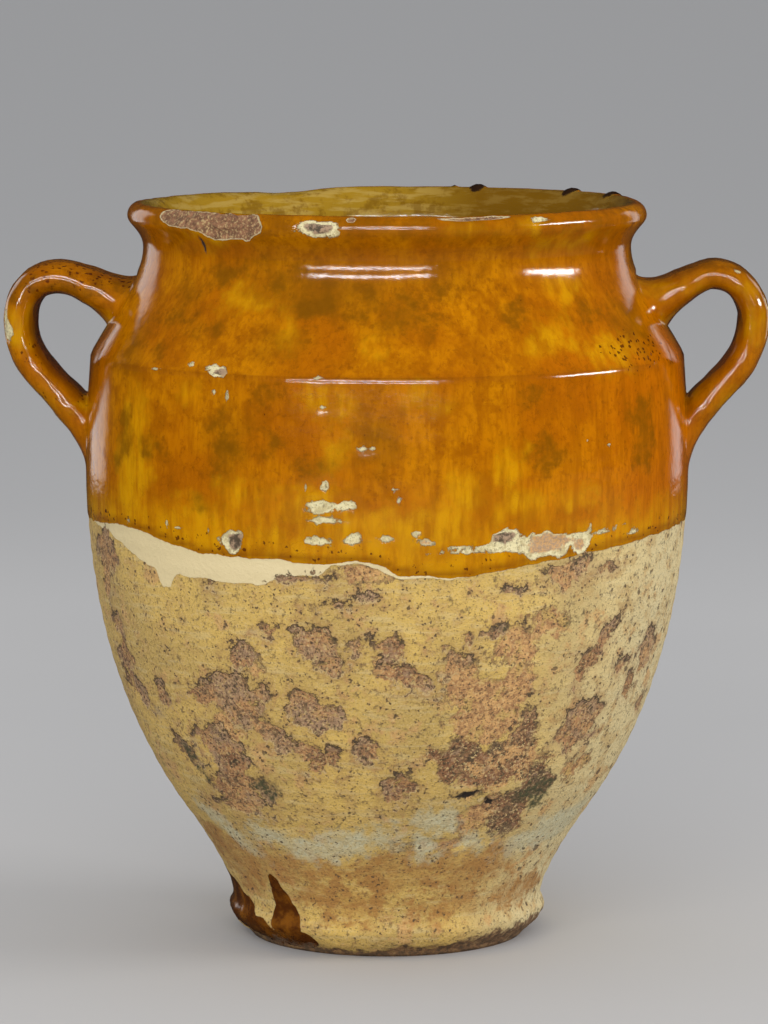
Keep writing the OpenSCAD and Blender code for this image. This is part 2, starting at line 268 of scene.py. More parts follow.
# How near a level a point lies that counts as on it, and the height below which the inside stays as
# it was thrown, in millimetres
LEVEL_SPARE = 0.01
STILL_BELOW = 270
# How far the edges of the glaze, the slip and the foot's wear wander
GLAZE_WANDER = 0.9
SLIP_WANDER = 0.8
FOOT_WANDER = 1.5
# Where glaze pools dark: under the rim and in the turned line, as (height, spread, strength), and
# along its lower edge, as (height over the edge, spread, strength)
POOLS = ((275.5, 4, 0.45), (230.2, 0.9, 1))
EDGE_POOL = (1.5, 1.6, 0.8)
# The heights and radii over which the rim's crest begins, the heights over which the worn foot ends,
# and the height over which the rim's lumps are kept
CREST_HEIGHTS = (285, 290)
CREST_RADII = (88, 96)
FOOT_HEIGHTS = (8, 20)
LUMPS_FROM = 286

# Relief, in millimetres
GLAZE_THICKNESS = 0.3
SLIP_THICKNESS = 0.7
CHIP_DEPTH = 0.5
CRACK_DEPTH = 0.5
ROUGH_DEPTH = 0.35
THROWING_PITCH = 7.5
# Depth of the throwing rings under the glaze, and what bare slip adds
RING_DEPTH = (0.02, 0.08)
# How far the relief may stand out past the belly's radius
BELLY_SPARE = 0.2

# Kinds of node that the finish uses again and again, with their settings
FADE = ("MapRange", {"interpolation_type": "SMOOTHSTEP"})
BLEND = ("Mix", {"data_type": "RGBA"})
TIMES = ("Math", {"operation": "MULTIPLY"})
MINUS = ("Math", {"operation": "SUBTRACT"})
TIMES_PLUS = ("Math", {"operation": "MULTIPLY_ADD"})

# Cloudy patterns: name, how they lie, size of their lumps in millimetres, octaves and roughness.
# The real grit is about 0.5 mm, and is drawn at twice that so that it shows.
NOISES = (
    ("cloud", "all", 34, 3, 0.55), ("mottle", "all", 8, 5, 0.65), ("ragged", "all", 2.6, 4, 0.7),
    ("grit", "all", 1.1, 3, 0.7), ("streak", "upright", 5, 4, 0.6), ("wiped", "level", 4, 4, 0.6),
    ("dusty", "all", 16, 5, 0.75), ("drips", "upright", 1.6, 3, 0.6),
)
# Patterns of cells: name, what is measured, and the spacing of the cells in millimetres
CELLS = (
    ("pits", "F1", 2.3), ("holes", "F1", 5.5), ("specks", "F1", 2.4), ("crazing", "DISTANCE_TO_EDGE", 4.2),
)
# Where each coat or mark lies: the attribute that says how far inside it a point is, how ragged and
# how patchy its edge is, and the distances it fades over, in millimetres
MASKS = (
    ("glaze", 1.1, 0, -0.12, 0.12), ("slip", 1.4, 2, -0.15, 0.15), ("flake", 9, 13, -0.5, 0.7),
    ("salmon", 9, 12, -1.2, 1.5), ("rough", 8, 12, -1.2, 1.6), ("dark", 9, 9, -1.2, 1.6),
    ("crack", 1.2, 0, -0.15, 0.3), ("stone", 0.6, 0, -0.1, 0.2), ("hole", 3, 0, -0.3, 0.5),
    ("mossy", 8, 8, -1, 3), ("bloom", 14, 14, -2, 3.5), ("orange_wear", 14, 12, -2, 4),
    ("chip", 3.4, 0, -0.12, 0.12), ("clay_chip", 3, 0, -0.3, 0.5), ("smoky", 6, 16, -8, 12),
    ("brown", 6, 12, -3.5, 3.5), ("yellow", 5, 14, -4, 6), ("speckled", 10, 10, -4, 5),
    ("scar", 0.9, 0, -0.1, 0.15), ("foot_glaze", 0.7, 0, -0.15, 0.15), ("foot_worn", 7, 6, -1.5, 1.5),
    ("lump", 1.5, 0, 0, 0.6),
)
LEAD_GLAZE_IOR = 1.6
# Soft lamps, two strips and a window before the pot and two cards behind it: turn from the front and
# climb in degrees, distance, width and height in metres, and power in watts
LAMPS = (
    (-7, 9, 2.2, 2.2, 0.045, 14), (-7, 24, 2.2, 2.2, 0.07, 17), (85, 17, 2.2, 1.05, 0.24, 18),
    (-139, 7, 1.2, 0.4, 0.66, 0.8), (141, 7, 1.2, 0.24, 0.66, 0.45),
)
LAMP_AIM = (0, 0, 0.22)
# How much of the sky and the floor the glaze mirrors, because the space before the pot is dark
MIRRORED_SKY = 0.02
MIRRORED_FLOOR = 0.02
# The paper floor: its radius in metres, its sides, how rough it is, and how far it lies under the pot
FLOOR_RADIUS = 60
FLOOR_SIDES = 64
PAPER_ROUGHNESS = 0.9
FLOOR_DROP = 0.05 * MM


def linear(hex_value):
    """The linear colour of an sRGB hex value."""
    parts = [int(hex_value[i:i + 2], 16) / 255 for i in (1, 3, 5)]
    return [c / 12.92 if c <= 0.04045 else ((c + 0.055) / 1.055) ** 2.4 for c in parts]


def length(label, words, millimetres):
    return FloatProperty(name=label, description=words, default=millimetres * MM, unit="LENGTH", precision=4)


def angle(label, words, degrees):
    return FloatProperty(name=label, description=words, default=math.radians(degrees), subtype="ANGLE")


def pair(label, words, left, right):
    """One length for each handle, the left one first."""
    return FloatVectorProperty(
        name=label, description=words, default=(left * MM, right * MM), size=2, unit="LENGTH", precision=4
    )


def colour(label, words, hex_value):
    return FloatVectorProperty(
        name=label, description=words, default=linear(hex_value), min=0, max=1, subtype="COLOR"
    )


class PotSizes(bpy.types.PropertyGroup):
    """Sizes of the thrown body and the pulled handles."""

    ground_radius: length("Ground radius", "Radius of the ring the pot stands on", 54)
    foot_radius: length("Foot radius", "Radius of the foot at its widest", 63.3)
    foot_height: length("Foot height", "Height of the foot's widest line", 10.5)
    waist_radius: length("Waist radius", "Radius of the waist above the foot", 61.6)
    waist_height: length("Waist height", "Height of the waist", 16.5)
    flank_radius: length("Flank radius", "Radius low on the flank", 79.2)
    flank_height: length("Flank height", "Height of that line on the flank", 50)
    flank_lean: angle("Flank lean", "Lean of the flank there from upright", 36)
    belly_radius: length("Belly radius", "Radius of the belly at its widest", 118.5)
    belly_height: length("Belly height", "Height of the belly's widest line", 188)
    line_radius: length("Line radius", "Radius of the turned line on the shoulder", 116.5)
    line_height: length("Line height", "Height of the turned line", 231)
    line_step: length("Line step", "Depth of the step cut at the turned line", 0.6)
    shoulder_lean: angle("Shoulder lean", "Lean of the shoulder above the line", 29)
    neck_radius: length("Neck radius", "Radius of the neck at its narrowest", 95.5)
    neck_height: length("Neck height", "Height of the narrowest part of the neck", 272)
    bead_radius: length("Bead radius", "Radius of the rolled rim at its widest", 101.6)
    bead_height: length("Bead height", "Height of the rim's widest line", 284.7)
    crest_radius: length("Crest radius", "Radius of the rim's crest line", 97)
    pot_height: length("Pot height", "Height of the rim's crest", 290)
    wall: length("Wall", "Thickness of the thrown wall", 9)
    base: length("Base", "Thickness of the base", 12)
    floor_radius: length("Floor radius", "Radius of the flat part of the floor inside", 36)
    root_radius: length("Root radius", "Radius at which the strap leaves the shoulder", 105)
    root_height: length("Root height", "Height at which the strap leaves the shoulder", 250)
    root_climb: angle("Root climb", "Climb of the straps out of their upper roots", 27)
    crown_radius: pair("Crown radius", "Radius of the top of each loop", 129.2, 127)
    crown_height: pair("Crown height", "Height of each strap's middle line at its top", 260, 261.6)
    reach_radius: pair("Reach", "Radius of each strap's middle line at its furthest", 144.2, 143.7)
    reach_height: pair("Reach height", "Height at which each loop reaches out furthest", 243.5, 246.1)
    tail_radius: length("Tail radius", "Radius of the straps' pressed ends", 114.1)
    tail_height: length("Tail height", "Height of the straps' pressed ends", 180)
    strap_thickness: pair("Strap thickness", "Thickness of each pulled strap", 13, 12.2)
    strap_width: length("Strap width", "Width of the straps", 32)
    upper_centre: length("Upper root height", "Height of the middle of the upper root", 252.3)
    upper_width: length("Upper root width", "Half width of the upper root on the wall", 23)
    upper_rise: length("Upper root rise", "Half height of the upper root on the wall", 11.2)
    lower_centre: length("Lower root height", "Height of the middle of the lower root", 199)
    lower_width: length("Lower root width", "Half width of the lower root on the wall", 20)
    lower_rise: length("Lower root rise", "Half height of the lower root on the wall", 16.2)


class PotStage(bpy.types.PropertyGroup):
    """The camera, the floor and the light."""

    camera_lens: FloatProperty(
        name="Lens", description="Focal length of the camera in millimetres", default=164.97)
    camera_shift: length("Camera shift", "How far the camera stands left of the middle", 1.2)
    camera_distance: length("Camera distance", "Distance of the camera from the pot's axis", 1839)
    camera_height: length("Camera height", "Height of the camera above the floor", 395.6)
    camera_turn: angle("Camera turn", "Turn of the camera round the pot from its front", 1.7)
    camera_pitch: angle("Camera pitch", "How far the camera looks down", 7.085)
    floor_colour: colour("Floor", "Colour of the plain floor", "#bab8b6")
    sky_colour: colour("Sky", "Colour of the soft light all round", "#eef1f6")
    sky_strength: FloatProperty(name="Sky strength", description="Strength of the soft light", default=0.84)


class PotColours(bpy.types.PropertyGroup):
    """Colours of the coats, the clay and the dirt."""

    honey: colour("Honey", "Glaze where it is palest over the slip", "#bd7600")
    amber: colour("Amber", "Glaze over most of the wall", "#a85e00")
    amber_deep: colour("Deep amber", "Glaze in its darker streaks", "#8f4e00")
    yellow: colour("Yellow", "Glaze where it runs thin", "#ca9003")
    amber_red: colour("Red amber", "Glaze at the right, where it fired redder", "#bd6200")
    olive_brown: colour("Olive brown", "Clouds in the glaze", "#744803")
    # The pooled glaze's dark tone also serves as painted shade on the straps' inner faces
    pooled: colour("Pooled glaze", "Glaze gathered in hollows", "#6f3803")
    iron: colour("Iron specks", "Specks of iron in the glaze", "#4e1c04")
    inside_olive: colour("Inside", "Glaze inside the pot", "#9c781d")
    # Painted reflection: pale streaks on the glaze inside the pot, mostly at its left
    inside_pale: colour("Inside, pale", "Paler wipes inside the pot", "#af9148")
    inside_brown: colour("Inside, brown", "Browner clouds inside the pot", "#74500c")
    cream_slip: colour("Cream slip", "Clean slip in the band below the glaze", "#dac696")
    cream: colour("Chips", "Slip seen where the glaze is chipped", "#e0d2a0")
    thin_cream: colour("Chips, stained", "Stained slip in the chips", "#a8925c")
    buff: colour("Buff slip", "Weathered slip on the lower body", "#cfab57")
    buff_deep: colour("Deep buff", "Darker clouds in the weathered slip", "#ba9a52")
    buff_pale: colour("Pale buff", "Paler slip at the right", "#d9ca9c")
    rubbed: colour("Rubbed slip", "Slip rubbed thin over the clay", "#b28e50")
    clay_pink: colour("Pink clay", "Clay in the flaked places", "#b68453")
    clay_brown: colour("Brown clay", "Browner clay in the flaked places", "#8a5e3a")
    clay_grey: colour("Grey clay", "Dusty clay in the flaked places", "#a98a6a")
    clay_salmon: colour("Salmon clay", "Paler clay in the broad worn places", "#cb9b5f")
    # Pale grit, and also the painted highlight along the flakes' lower edges
    dark_patch: colour("Dark patch", "Rough dark places low on the front", "#745a3a")
    # Dirt, and also the painted shadow along the flakes' upper edges
    pale_grain_and_highlight: colour("Pale grains", "Grit in the rough places", "#cbae76")
    dirt_and_shadow: colour("Dirt", "Dirt in pits and along broken edges", "#54422a")
    crack: colour("Crack", "Open crack in the clay", "#2a1c10")
    lump: colour("Lumps", "Lumps of burnt glaze on the rim", "#2b190c")
    moss: colour("Moss", "Greenish dirt", "#4c4a28")
    bloom: colour("Bloom", "Pale greenish bloom above the foot", "#c2bb97")
    orange_clay: colour("Orange clay", "Orange wear near the foot", "#a4712f")
    worn_foot: colour("Worn foot", "Clay of the worn foot", "#805b38")
    foot_brown: colour("Foot glaze", "Brown glaze run down to the foot", "#4c2608")
    foot_amber: colour("Foot glaze, thin", "The same glaze where it is thin", "#7c4a10")
    rim_clay: colour("Rim clay", "Clay in the scars of the rim", "#9a6c48")
    rim_clay_dark: colour("Rim clay, dark", "Dirtier clay in the scars of the rim", "#6c472c")


def leaning(lean):
    """Direction of a wall that leans outward from upright."""
    return np.array([math.sin(lean), math.cos(lean)])


def cubic(a, b, c, d, t):
    return (1 - t) ** 3 * a + 3 * t * (1 - t) ** 2 * b + 3 * t * t * (1 - t) * c + t ** 3 * d


def curve(*points):
    """Close points along a cubic curve from the first of four points to the last."""
    return cubic(*(np.asarray(p, float) for p in points), np.linspace(0, 1, CURVE_SAMPLES)[:, None])


def stretch(a, a_lean, b, b_lean, pull):
    """A stretch of wall between two places, with the lean that it has at each."""
    a, b = np.asarray(a, float), np.asarray(b, float)
    rise = b[1] - a[1]
    return curve(a, a + rise * pull[0] * leaning(a_lean), b - rise * pull[1] * leaning(b_lean), b)


def length_along(points):
    """How far along a line each of its points lies."""
    return np.concatenate([[0], np.cumsum(np.linalg.norm(np.diff(points, axis=0), axis=1))])


def evenly(points, step):
    """The same line with its points at most step apart."""
    run = length_along(points)
    count = max(1, math.ceil(run[-1] / step - 1e-6))
    at = np.linspace(0, run[-1], count + 1)
    return np.stack([np.interp(at, run, points[:, i]) for i in range(points.shape[1])], axis=1)


def shell_rows(s):
    """Radius and height of each row of the skin, from under the foot up the outside and down inside.
    Also returns the number of the row at the crest."""
    foot = (s.foot_radius, s.foot_height)
    waist = (s.waist_radius, s.waist_height)
    flank = (s.flank_radius, s.flank_height)
    belly = (s.belly_radius, s.belly_height)
    line = np.array([s.line_radius, s.line_height])
    neck = np.array([s.neck_radius, s.neck_height])
    bead = np.array([s.bead_radius, s.bead_height])
    crest = np.array([s.crest_radius, s.pot_height])
    belly_curve = stretch(flank, s.flank_lean, belly, 0, PULLS["belly"])
    line_curve = stretch(belly, 0, line, LINE_LEAN, PULLS["line"])
    above_line = line + s.line_step * np.array([-1, 1])
    shoulder_curve = stretch(above_line, -s.shoulder_lean, neck, 0, PULLS["shoulder"])
    crest_rise = crest[1] - bead[1]
    outside = [
        (np.array([[0, 0], [s.ground_radius, 0]]), UNDER_STEP),
        (stretch((s.ground_radius, 0), FOOT_LEAN, foot, 0, PULLS["foot"]), FOOT_STEP),
        (stretch(foot, 0, waist, 0, PULLS["waist"]), FOOT_STEP),
        (stretch(waist, 0, flank, s.flank_lean, PULLS["flank"]), SLIP_STEP),
        (belly_curve, SLIP_STEP),
        (line_curve, GLAZE_STEP),
        (np.array([line_curve[-1], shoulder_curve[0]]), GLAZE_STEP),
        (shoulder_curve, GLAZE_STEP),
        (stretch(neck, 0, bead, 0, PULLS["neck"]), RIM_STEP),
        (curve(bead, bead + (0, crest_rise * LIP_PULL), crest + ((bead[0] - crest[0]) * LIP_PULL, 0), crest),
         RIM_STEP),
    ]
    wall = np.concatenate([belly_curve, line_curve[1:], shoulder_curve])
    run = np.gradient(wall, axis=0)
    inward = np.stack([-run[:, 1], run[:, 0]], axis=1) / np.linalg.norm(run, axis=1)[:, None]
    inner = wall + s.wall * inward
    neck_inside = neck - (s.wall, 0)
    lip_rise = crest[1] - neck_inside[1]
    floor_reach = FLOOR_PULL * s.flank_radius
    floor_end = inner[0]
    inside = [
        (curve(crest, crest - (LIP_PULL * (crest[0] - neck_inside[0]), 0),
               neck_inside + (0, LIP_PULL * lip_rise), neck_inside), LIP_STEP),
        (inner[::-1], INSIDE_STEP),
        (curve(floor_end, floor_end - floor_reach * leaning(s.flank_lean),
               (s.floor_radius + floor_reach, s.base), (s.floor_radius, s.base)), INSIDE_STEP),
        (np.array([[s.floor_radius, s.base], [0, s.base]]), INSIDE_STEP),
    ]
    rows = [np.zeros((1, 2))]
    for points, step in outside:
        rows.append(evenly(points, step)[1:])
    crest_row = sum(len(r) for r in rows) - 1
    for points, step in inside:
        rows.append(evenly(points, step)[1:])
    return np.concatenate(rows), crest_row


def turn_shell(bm, rows):
    """Turns the section round the axis, and numbers its rows."""
    row_layer = bm.verts.layers.int.new("row")
    section = []
    for number, (radius, height) in enumerate(rows):
        vert = bm.verts.new((radius, 0, height))
        vert[row_layer] = number
        section.append(vert)
    edges = [bm.edges.new(pair) for pair in zip(section, section[1:])]
    bmesh.ops.spin(
        bm, geom=section + edges, cent=(0, 0, 0), axis=(0, 0, 1), angle=math.tau, steps=COLUMNS,
        use_merge=True,
    )
    bmesh.ops.remove_doubles(bm, verts=bm.verts, dist=1e-6)
    return row_layer


class Root:
    """A patch of the wall that a handle grows out of: where it is, and its oval on the wall."""

    def __init__(self, side, rows, crest_row, patch, centre, width, rise, lean):
        heights = rows[:crest_row, 1]
        columns, self.count = patch
        middle = int(np.argmin(np.abs(heights - centre) + (rows[:crest_row, 0] < ROOT_WALL)))
        self.first = middle - self.count // 2
        self.last = self.first + self.count
        self.low, self.high = heights[self.first], heights[self.last]
        self.middle = (self.low + self.high) / 2
        self.half_rise = (self.high - self.low) / 2
        self.half_turn = columns / 2 * math.tau / COLUMNS
        self.side = side
        self.lean = lean
        self.centre = centre
        self.radius = float(np.interp(centre, heights[self.first - 3:self.last + 3],
                                      rows[self.first - 3:self.last + 3, 0]))
        self.oval_turn = width / self.radius
        self.oval_rise = rise

    def place(self, co):
        """Where a point of the wall lies across and up the patch, from -1 to 1 inside it."""
        turn = math.atan2(co.y, co.x * self.side)
        return turn / self.half_turn, (co.z - self.middle) / self.half_rise

    def shifted(self, across, up):
        """The turn and height that a place moves to, so that the patch's edge is an oval."""
        square = max(abs(across), abs(up))
        round_ = math.hypot(across, up)
        fade = min(1, max(0, (square - 1) / PATCH_REACH))
        fade = fade * fade * (3 - 2 * fade)
        to_oval = square / round_
        turn = across * (self.half_turn * fade + to_oval * self.oval_turn * (1 - fade))
        rise = up * (self.half_rise * fade + to_oval * self.oval_rise * (1 - fade))
        return turn, self.middle * fade + self.centre * (1 - fade) + rise


def round_edge(place):
    """Order round a root's edge, from the vertex at or just before its side."""
    return (place[0] + 1e-3) % math.tau


def open_roots(bm, rows, crest_row, row_layer, roots):
    """Cuts the patches out of the wall, and rounds their edges into ovals.
    Returns each root's edge as (angle round it, vertex), in order."""
    spare = 1e-4
    for root in roots:
        doomed = []
        for face in bm.faces:
            at = [v[row_layer] for v in face.verts]
            on_rows = root.first <= min(at) and max(at) <= root.last
            if on_rows and abs(root.place(face.calc_center_median())[0]) < 1:
                doomed.append(face)
        bmesh.ops.delete(bm, geom=doomed, context="FACES")
    wall_rows = rows[:crest_row + 1]
    edges = []
    for root in roots:
        rim = []
        near = root.half_rise * (1 + PATCH_REACH)
        for vert in bm.verts:
            if vert[row_layer] >= crest_row or abs(vert.co.z - root.middle) > near:
                continue
            across, up = root.place(vert.co)
            square = max(abs(across), abs(up))
            if square > 1 + PATCH_REACH or square < 1 - spare:
                continue
            if square < 1 + spare:
                rim.append((math.atan2(up, across) % math.tau, vert))
            turn, height = root.shifted(across, up)
            radius = float(np.interp(height, wall_rows[:, 1], wall_rows[:, 0]))
            vert.co = (root.side * radius * math.cos(turn), radius * math.sin(turn), height)
        rim.sort(key=round_edge)
        edges.append(rim)
    return edges


def strap_line(s, which):
    """The middle line of a strap, as radius and height, from its upper root to its pressed end."""
    pulls = [p * MM for p in STRAP_PULLS[which]]
    way = np.array([math.cos(s.root_climb), math.sin(s.root_climb)])
    root = np.array([s.root_radius, s.root_height]) - ROOT_BURY * way
    crown = np.array([s.crown_radius[which], s.crown_height[which]])
    furthest = np.array([s.reach_radius[which], s.reach_height[which]])
    tail = np.array([s.tail_radius, s.tail_height])
    parts = [
        curve(root, root + pulls[0] * way, crown - (pulls[1], 0), crown),
        curve(crown, crown + (pulls[2], 0), furthest + (0, pulls[3]), furthest)[1:],
        curve(furthest, furthest - (0, pulls[4]), tail + (0, pulls[5]), tail)[1:],
    ]
    return np.concatenate(parts)


def fuller(value):
    """Squares a strap's oval section a little."""
    return math.copysign(abs(value) ** STRAP_FULLNESS, value)


def ends_of(edges):
    """Each vertex of the edges once, in the order of the edges."""
    return list(dict.fromkeys(v for e in edges for v in e.verts))


def pull_handle(bm, s, which, upper, lower, upper_rim, lower_rim, layers):
    """Draws one strap out of its upper root, round its loop and onto the wall at its lower root."""
    ring_layer, strap_layer, run_layer = layers
    side = upper.side
    line = strap_line(s, which)
    run = length_along(line)
    start = ROOT_CLEAR
    after_reach = np.argmax(line[:, 0])
    end = float(np.interp(-TAIL_CLEAR, -line[after_reach:, 1], run[after_reach:]))
    count = math.ceil((end - start) / STRAP_STEP)
    spots = np.linspace(start, end, count + 1)
    upper_angles = [a for a, v in upper_rim]
    lower_turned = sorted(((-a % math.tau, v) for a, v in lower_rim), key=round_edge)
    lower_angles = [a for a, v in lower_turned]
    sides = len(upper_angles)

    def section(at, share_down):
        middle, ahead = (np.array([np.interp(a, run, line[:, i]) for i in (0, 1)]) for a in (at, at + MM))
        way = (ahead - middle) / np.linalg.norm(ahead - middle)
        out = np.array([-way[1], way[0]])
        swell = max(0, 1 - (at - start) / SWELL_LENGTH) ** 2
        press = max(0, 1 - (end - at) / PRESS_LENGTH) ** 2
        half_t = s.strap_thickness[which] / 2 * (1 + THICKENED[0] * swell + THICKENED[1] * press)
        half_w = s.strap_width / 2 * (1 + WIDENED[0] * swell + WIDENED[1] * press)
        ring = []
        for k in range(sides):
            up_a, low_a = upper_angles[k], lower_angles[k]
            low_a += math.tau * round((up_a - low_a) / math.tau)
            a = up_a + (low_a - up_a) * share_down
            radius, height = middle + half_t * fuller(math.sin(a)) * out
            ring.append(Vector((side * radius, half_w * fuller(math.cos(a)), height)))
        return ring, Vector((side * way[0], 0, way[1]))

    def wall_way(root, co):
        """Direction in the wall's skin from a place on the root's edge towards the root's middle."""
        outward = Vector((co.x, co.y, 0)).normalized()
        normal = outward * math.cos(root.lean) - Vector((0, 0, math.sin(root.lean)))
        to_middle = Vector((root.side * root.radius, 0, root.centre)) - co
        to_middle -= to_middle.dot(normal) * normal
        return to_middle.normalized()

    def skin_between(root, rim, ring, way, pulls, shares):
        """Rings of skin between a root's edge and the strap, one for each share of the way to the strap."""
        wall_pull, top_gain, strap_pull = pulls
        made = []
        for t in shares:
            points = []
            for (a, v), to in zip(rim, ring):
                chord = (to - v.co).length
                off_wall = v.co + wall_way(root, v.co) * chord * (wall_pull + top_gain * math.sin(a))
                points.append(cubic(v.co, off_wall, to - way * chord * strap_pull, to, t))
            made.append((t, points))
        return made

    ring, way = section(start, 0)
    shares = [i / UPPER_RINGS for i in range(1, UPPER_RINGS)]
    rings = skin_between(upper, upper_rim, ring, way, UPPER_BLEND, shares)
    rings += [(1, section(at, (at - start) / (end - start))[0]) for at in spots]
    ring, way = section(end, 1)
    shares = [1 - i / LOWER_RINGS for i in range(1, LOWER_RINGS + 1)]
    rings += skin_between(lower, lower_turned, ring, -way, LOWER_BLEND, shares)

    for k, (a, v) in enumerate(upper_rim):
        v[ring_layer] = k
    rim_verts = {v for a, v in upper_rim}
    edges = [e for e in bm.edges if e.is_boundary and e.verts[0] in rim_verts and e.verts[1] in rim_verts]
    travelled = 0.0
    for strap_share, ring in rings:
        made = bmesh.ops.extrude_edge_only(bm, edges=edges)["geom"]
        edges = [g for g in made if isinstance(g, bmesh.types.BMEdge) and g.is_boundary]
        travelled += STRAP_STEP
        for vert in ends_of(edges):
            vert.co = ring[vert[ring_layer]]
            vert[strap_layer] = strap_share
            vert[run_layer] = travelled / MM
    for k, (a, v) in enumerate(lower_turned):
        v[ring_layer] = k
        v[run_layer] = travelled / MM
    bmesh.ops.remove_doubles(bm, verts=ends_of(edges) + [v for a, v in lower_rim], dist=1e-5)


def make_shell(s):
    """The pot's closed mesh before its relief, with the shares and rows kept on its vertices."""
    rows, crest_row = shell_rows(s)
    bm = bmesh.new()
    row_layer = turn_shell(bm, rows)
    layers = (bm.verts.layers.int.new("ring_place"), bm.verts.layers.float.new("strap"),
              bm.verts.layers.float.new("strap_run"))
    roots = []
    upper = (UPPER_PATCH, s.upper_centre, s.upper_width, s.upper_rise, s.shoulder_lean)
    lower = (LOWER_PATCH, s.lower_centre, s.lower_width, s.lower_rise, 0)
    for side in (1, -1):
        roots += [Root(side, rows, crest_row, *upper), Root(side, rows, crest_row, *lower)]
    rims = open_roots(bm, rows, crest_row, row_layer, roots)
    for i, which in ((0, 1), (2, 0)):
        pull_handle(bm, s, which, roots[i], roots[i + 1], rims[i], rims[i + 1], layers)
    bmesh.ops.recalc_face_normals(bm, faces=bm.faces)
    loose = [e for e in bm.edges if not e.is_manifold]
    if loose:
        raise RuntimeError(f"the pot's skin is open at {len(loose)} edges, first at {loose[0].verts[0].co}")
    mesh = bpy.data.meshes.new(PIECE)
    bm.to_mesh(mesh)
    bm.free()
    return mesh, rows, crest_row


def weave(points, grain, octaves, shift):
    """Smooth noise from about -1 to 1 at each point, with lumps about grain across."""
    offset = Vector((shift, 2.3 * shift, 0.7 * shift))
    return np.array([noise.fractal(Vector(p) / grain + offset, 1.0, 2.0, octaves) for p in points])


def smooth_step(values, low, high):
    t = np.clip((values - low) / (high - low), 0, 1)
    return t * t * (3 - 2 * t)


def strewn(count, seed, heights, half_widths):
    """Marks strewn over the side of the pot that faces away, the same ones each run."""
    draw = random.Random(seed)
    marks = []
    for _ in range(count):
        half_w = half_widths[0] + (half_widths[1] - half_widths[0]) * draw.random() ** 2
        marks.append((draw.uniform(*BACK_TURNS), draw.uniform(*heights), half_w,
                      half_w * draw.uniform(0.4, 0.9), draw.uniform(-35, 35)))
    return tuple(marks)


def gathered(items, field, kind=float, width=1):
    """One field of every item, as an array."""
    values = np.empty(len(items) * width, kind)
    items.foreach_get(field, values)
    return values.reshape(-1, width) if width > 1 else values


class Skin:
    """The pot's points as arrays: where each lies round, up and along the wall, in degrees and mm."""

    def __init__(self, mesh, rows, crest_row):
        self.mesh = mesh
        self.co = gathered(mesh.vertices, "co", width=3)
        self.normal = gathered(mesh.vertex_normals, "vector", width=3)
        self.strap = gathered(mesh.attributes["strap"].data, "value")
        self.strap_run = gathered(mesh.attributes["strap_run"].data, "value")
        self.ring = gathered(mesh.attributes["ring_place"].data, "value", int)
        self.outer = gathered(mesh.attributes["row"].data, "value", int) <= crest_row
        self.points = self.co / MM
        x, y, self.height = self.points.T
        self.radius = np.hypot(x, y)
        self.turn = np.degrees(np.arctan2(x, -y))
        outer_rows = rows[:crest_row + 1] / MM
        self.row_heights = outer_rows[:, 1]
        self.row_runs = length_along(outer_rows)
        self.run = self.run_at(self.height)
        self.wobble = (weave(self.points, 7, 3, 1.7), weave(self.points, 7, 3, 8.3))

    def keep(self, name, values):
        """Keeps one number for each point, where the material can read it."""
        attribute = self.mesh.attributes.new(name, "FLOAT", "POINT")
        attribute.data.foreach_set("value", values.astype(np.float32))

    def run_at(self, height):
        return np.interp(height, self.row_heights, self.row_runs)

    def round_to(self, knots):
        """A line round the pot through knots of (turn, height), as a height at each point."""
        return np.interp(self.turn, *zip(*knots), period=360)

    def inside_marks(self, marks, ragged):
        """How far inside the nearest mark each point lies, in mm, and below zero outside them. Also
        returns how high up that mark it lies, from -1 to 1."""
        best = np.full(len(self.turn), -FAR)
        rise = np.zeros(len(self.turn))
        for at, height, half_w, half_h, tilt in ((*mark, 0)[:5] for mark in marks):
            size = min(half_w, half_h)
            across = np.radians((self.turn - at + 180) % 360 - 180) * self.radius
            near = np.nonzero((np.abs(across) < 3 * half_w + FAR) & self.outer)[0]
            wander = min(ragged * size, 2.5)
            u = across[near] + 2 * wander * self.wobble[0][near]
            v = self.run[near] - self.run_at(height) + 2 * wander * self.wobble[1][near]
            c, s = math.cos(math.radians(tilt)), math.sin(math.radians(tilt))
            inside = (1 - np.hypot((u * c + v * s) / half_w, (v * c - u * s) / half_h)) * size
            rise[near] = np.where(inside > best[near], np.clip(v / half_h, -1, 1), rise[near])
            best[near] = np.maximum(best[near], inside)
        return best, rise

    def inside_places(self, places):
        """How far inside the nearest round place of (x, y, height, reach) each point lies, in mm."""
        best = np.full(len(self.turn), -FAR)
        for *middle, reach in places:
            far = np.linalg.norm(self.points - middle, axis=1) + 0.3 * reach * self.wobble[0]
            best = np.maximum(best, reach - far)
        return best


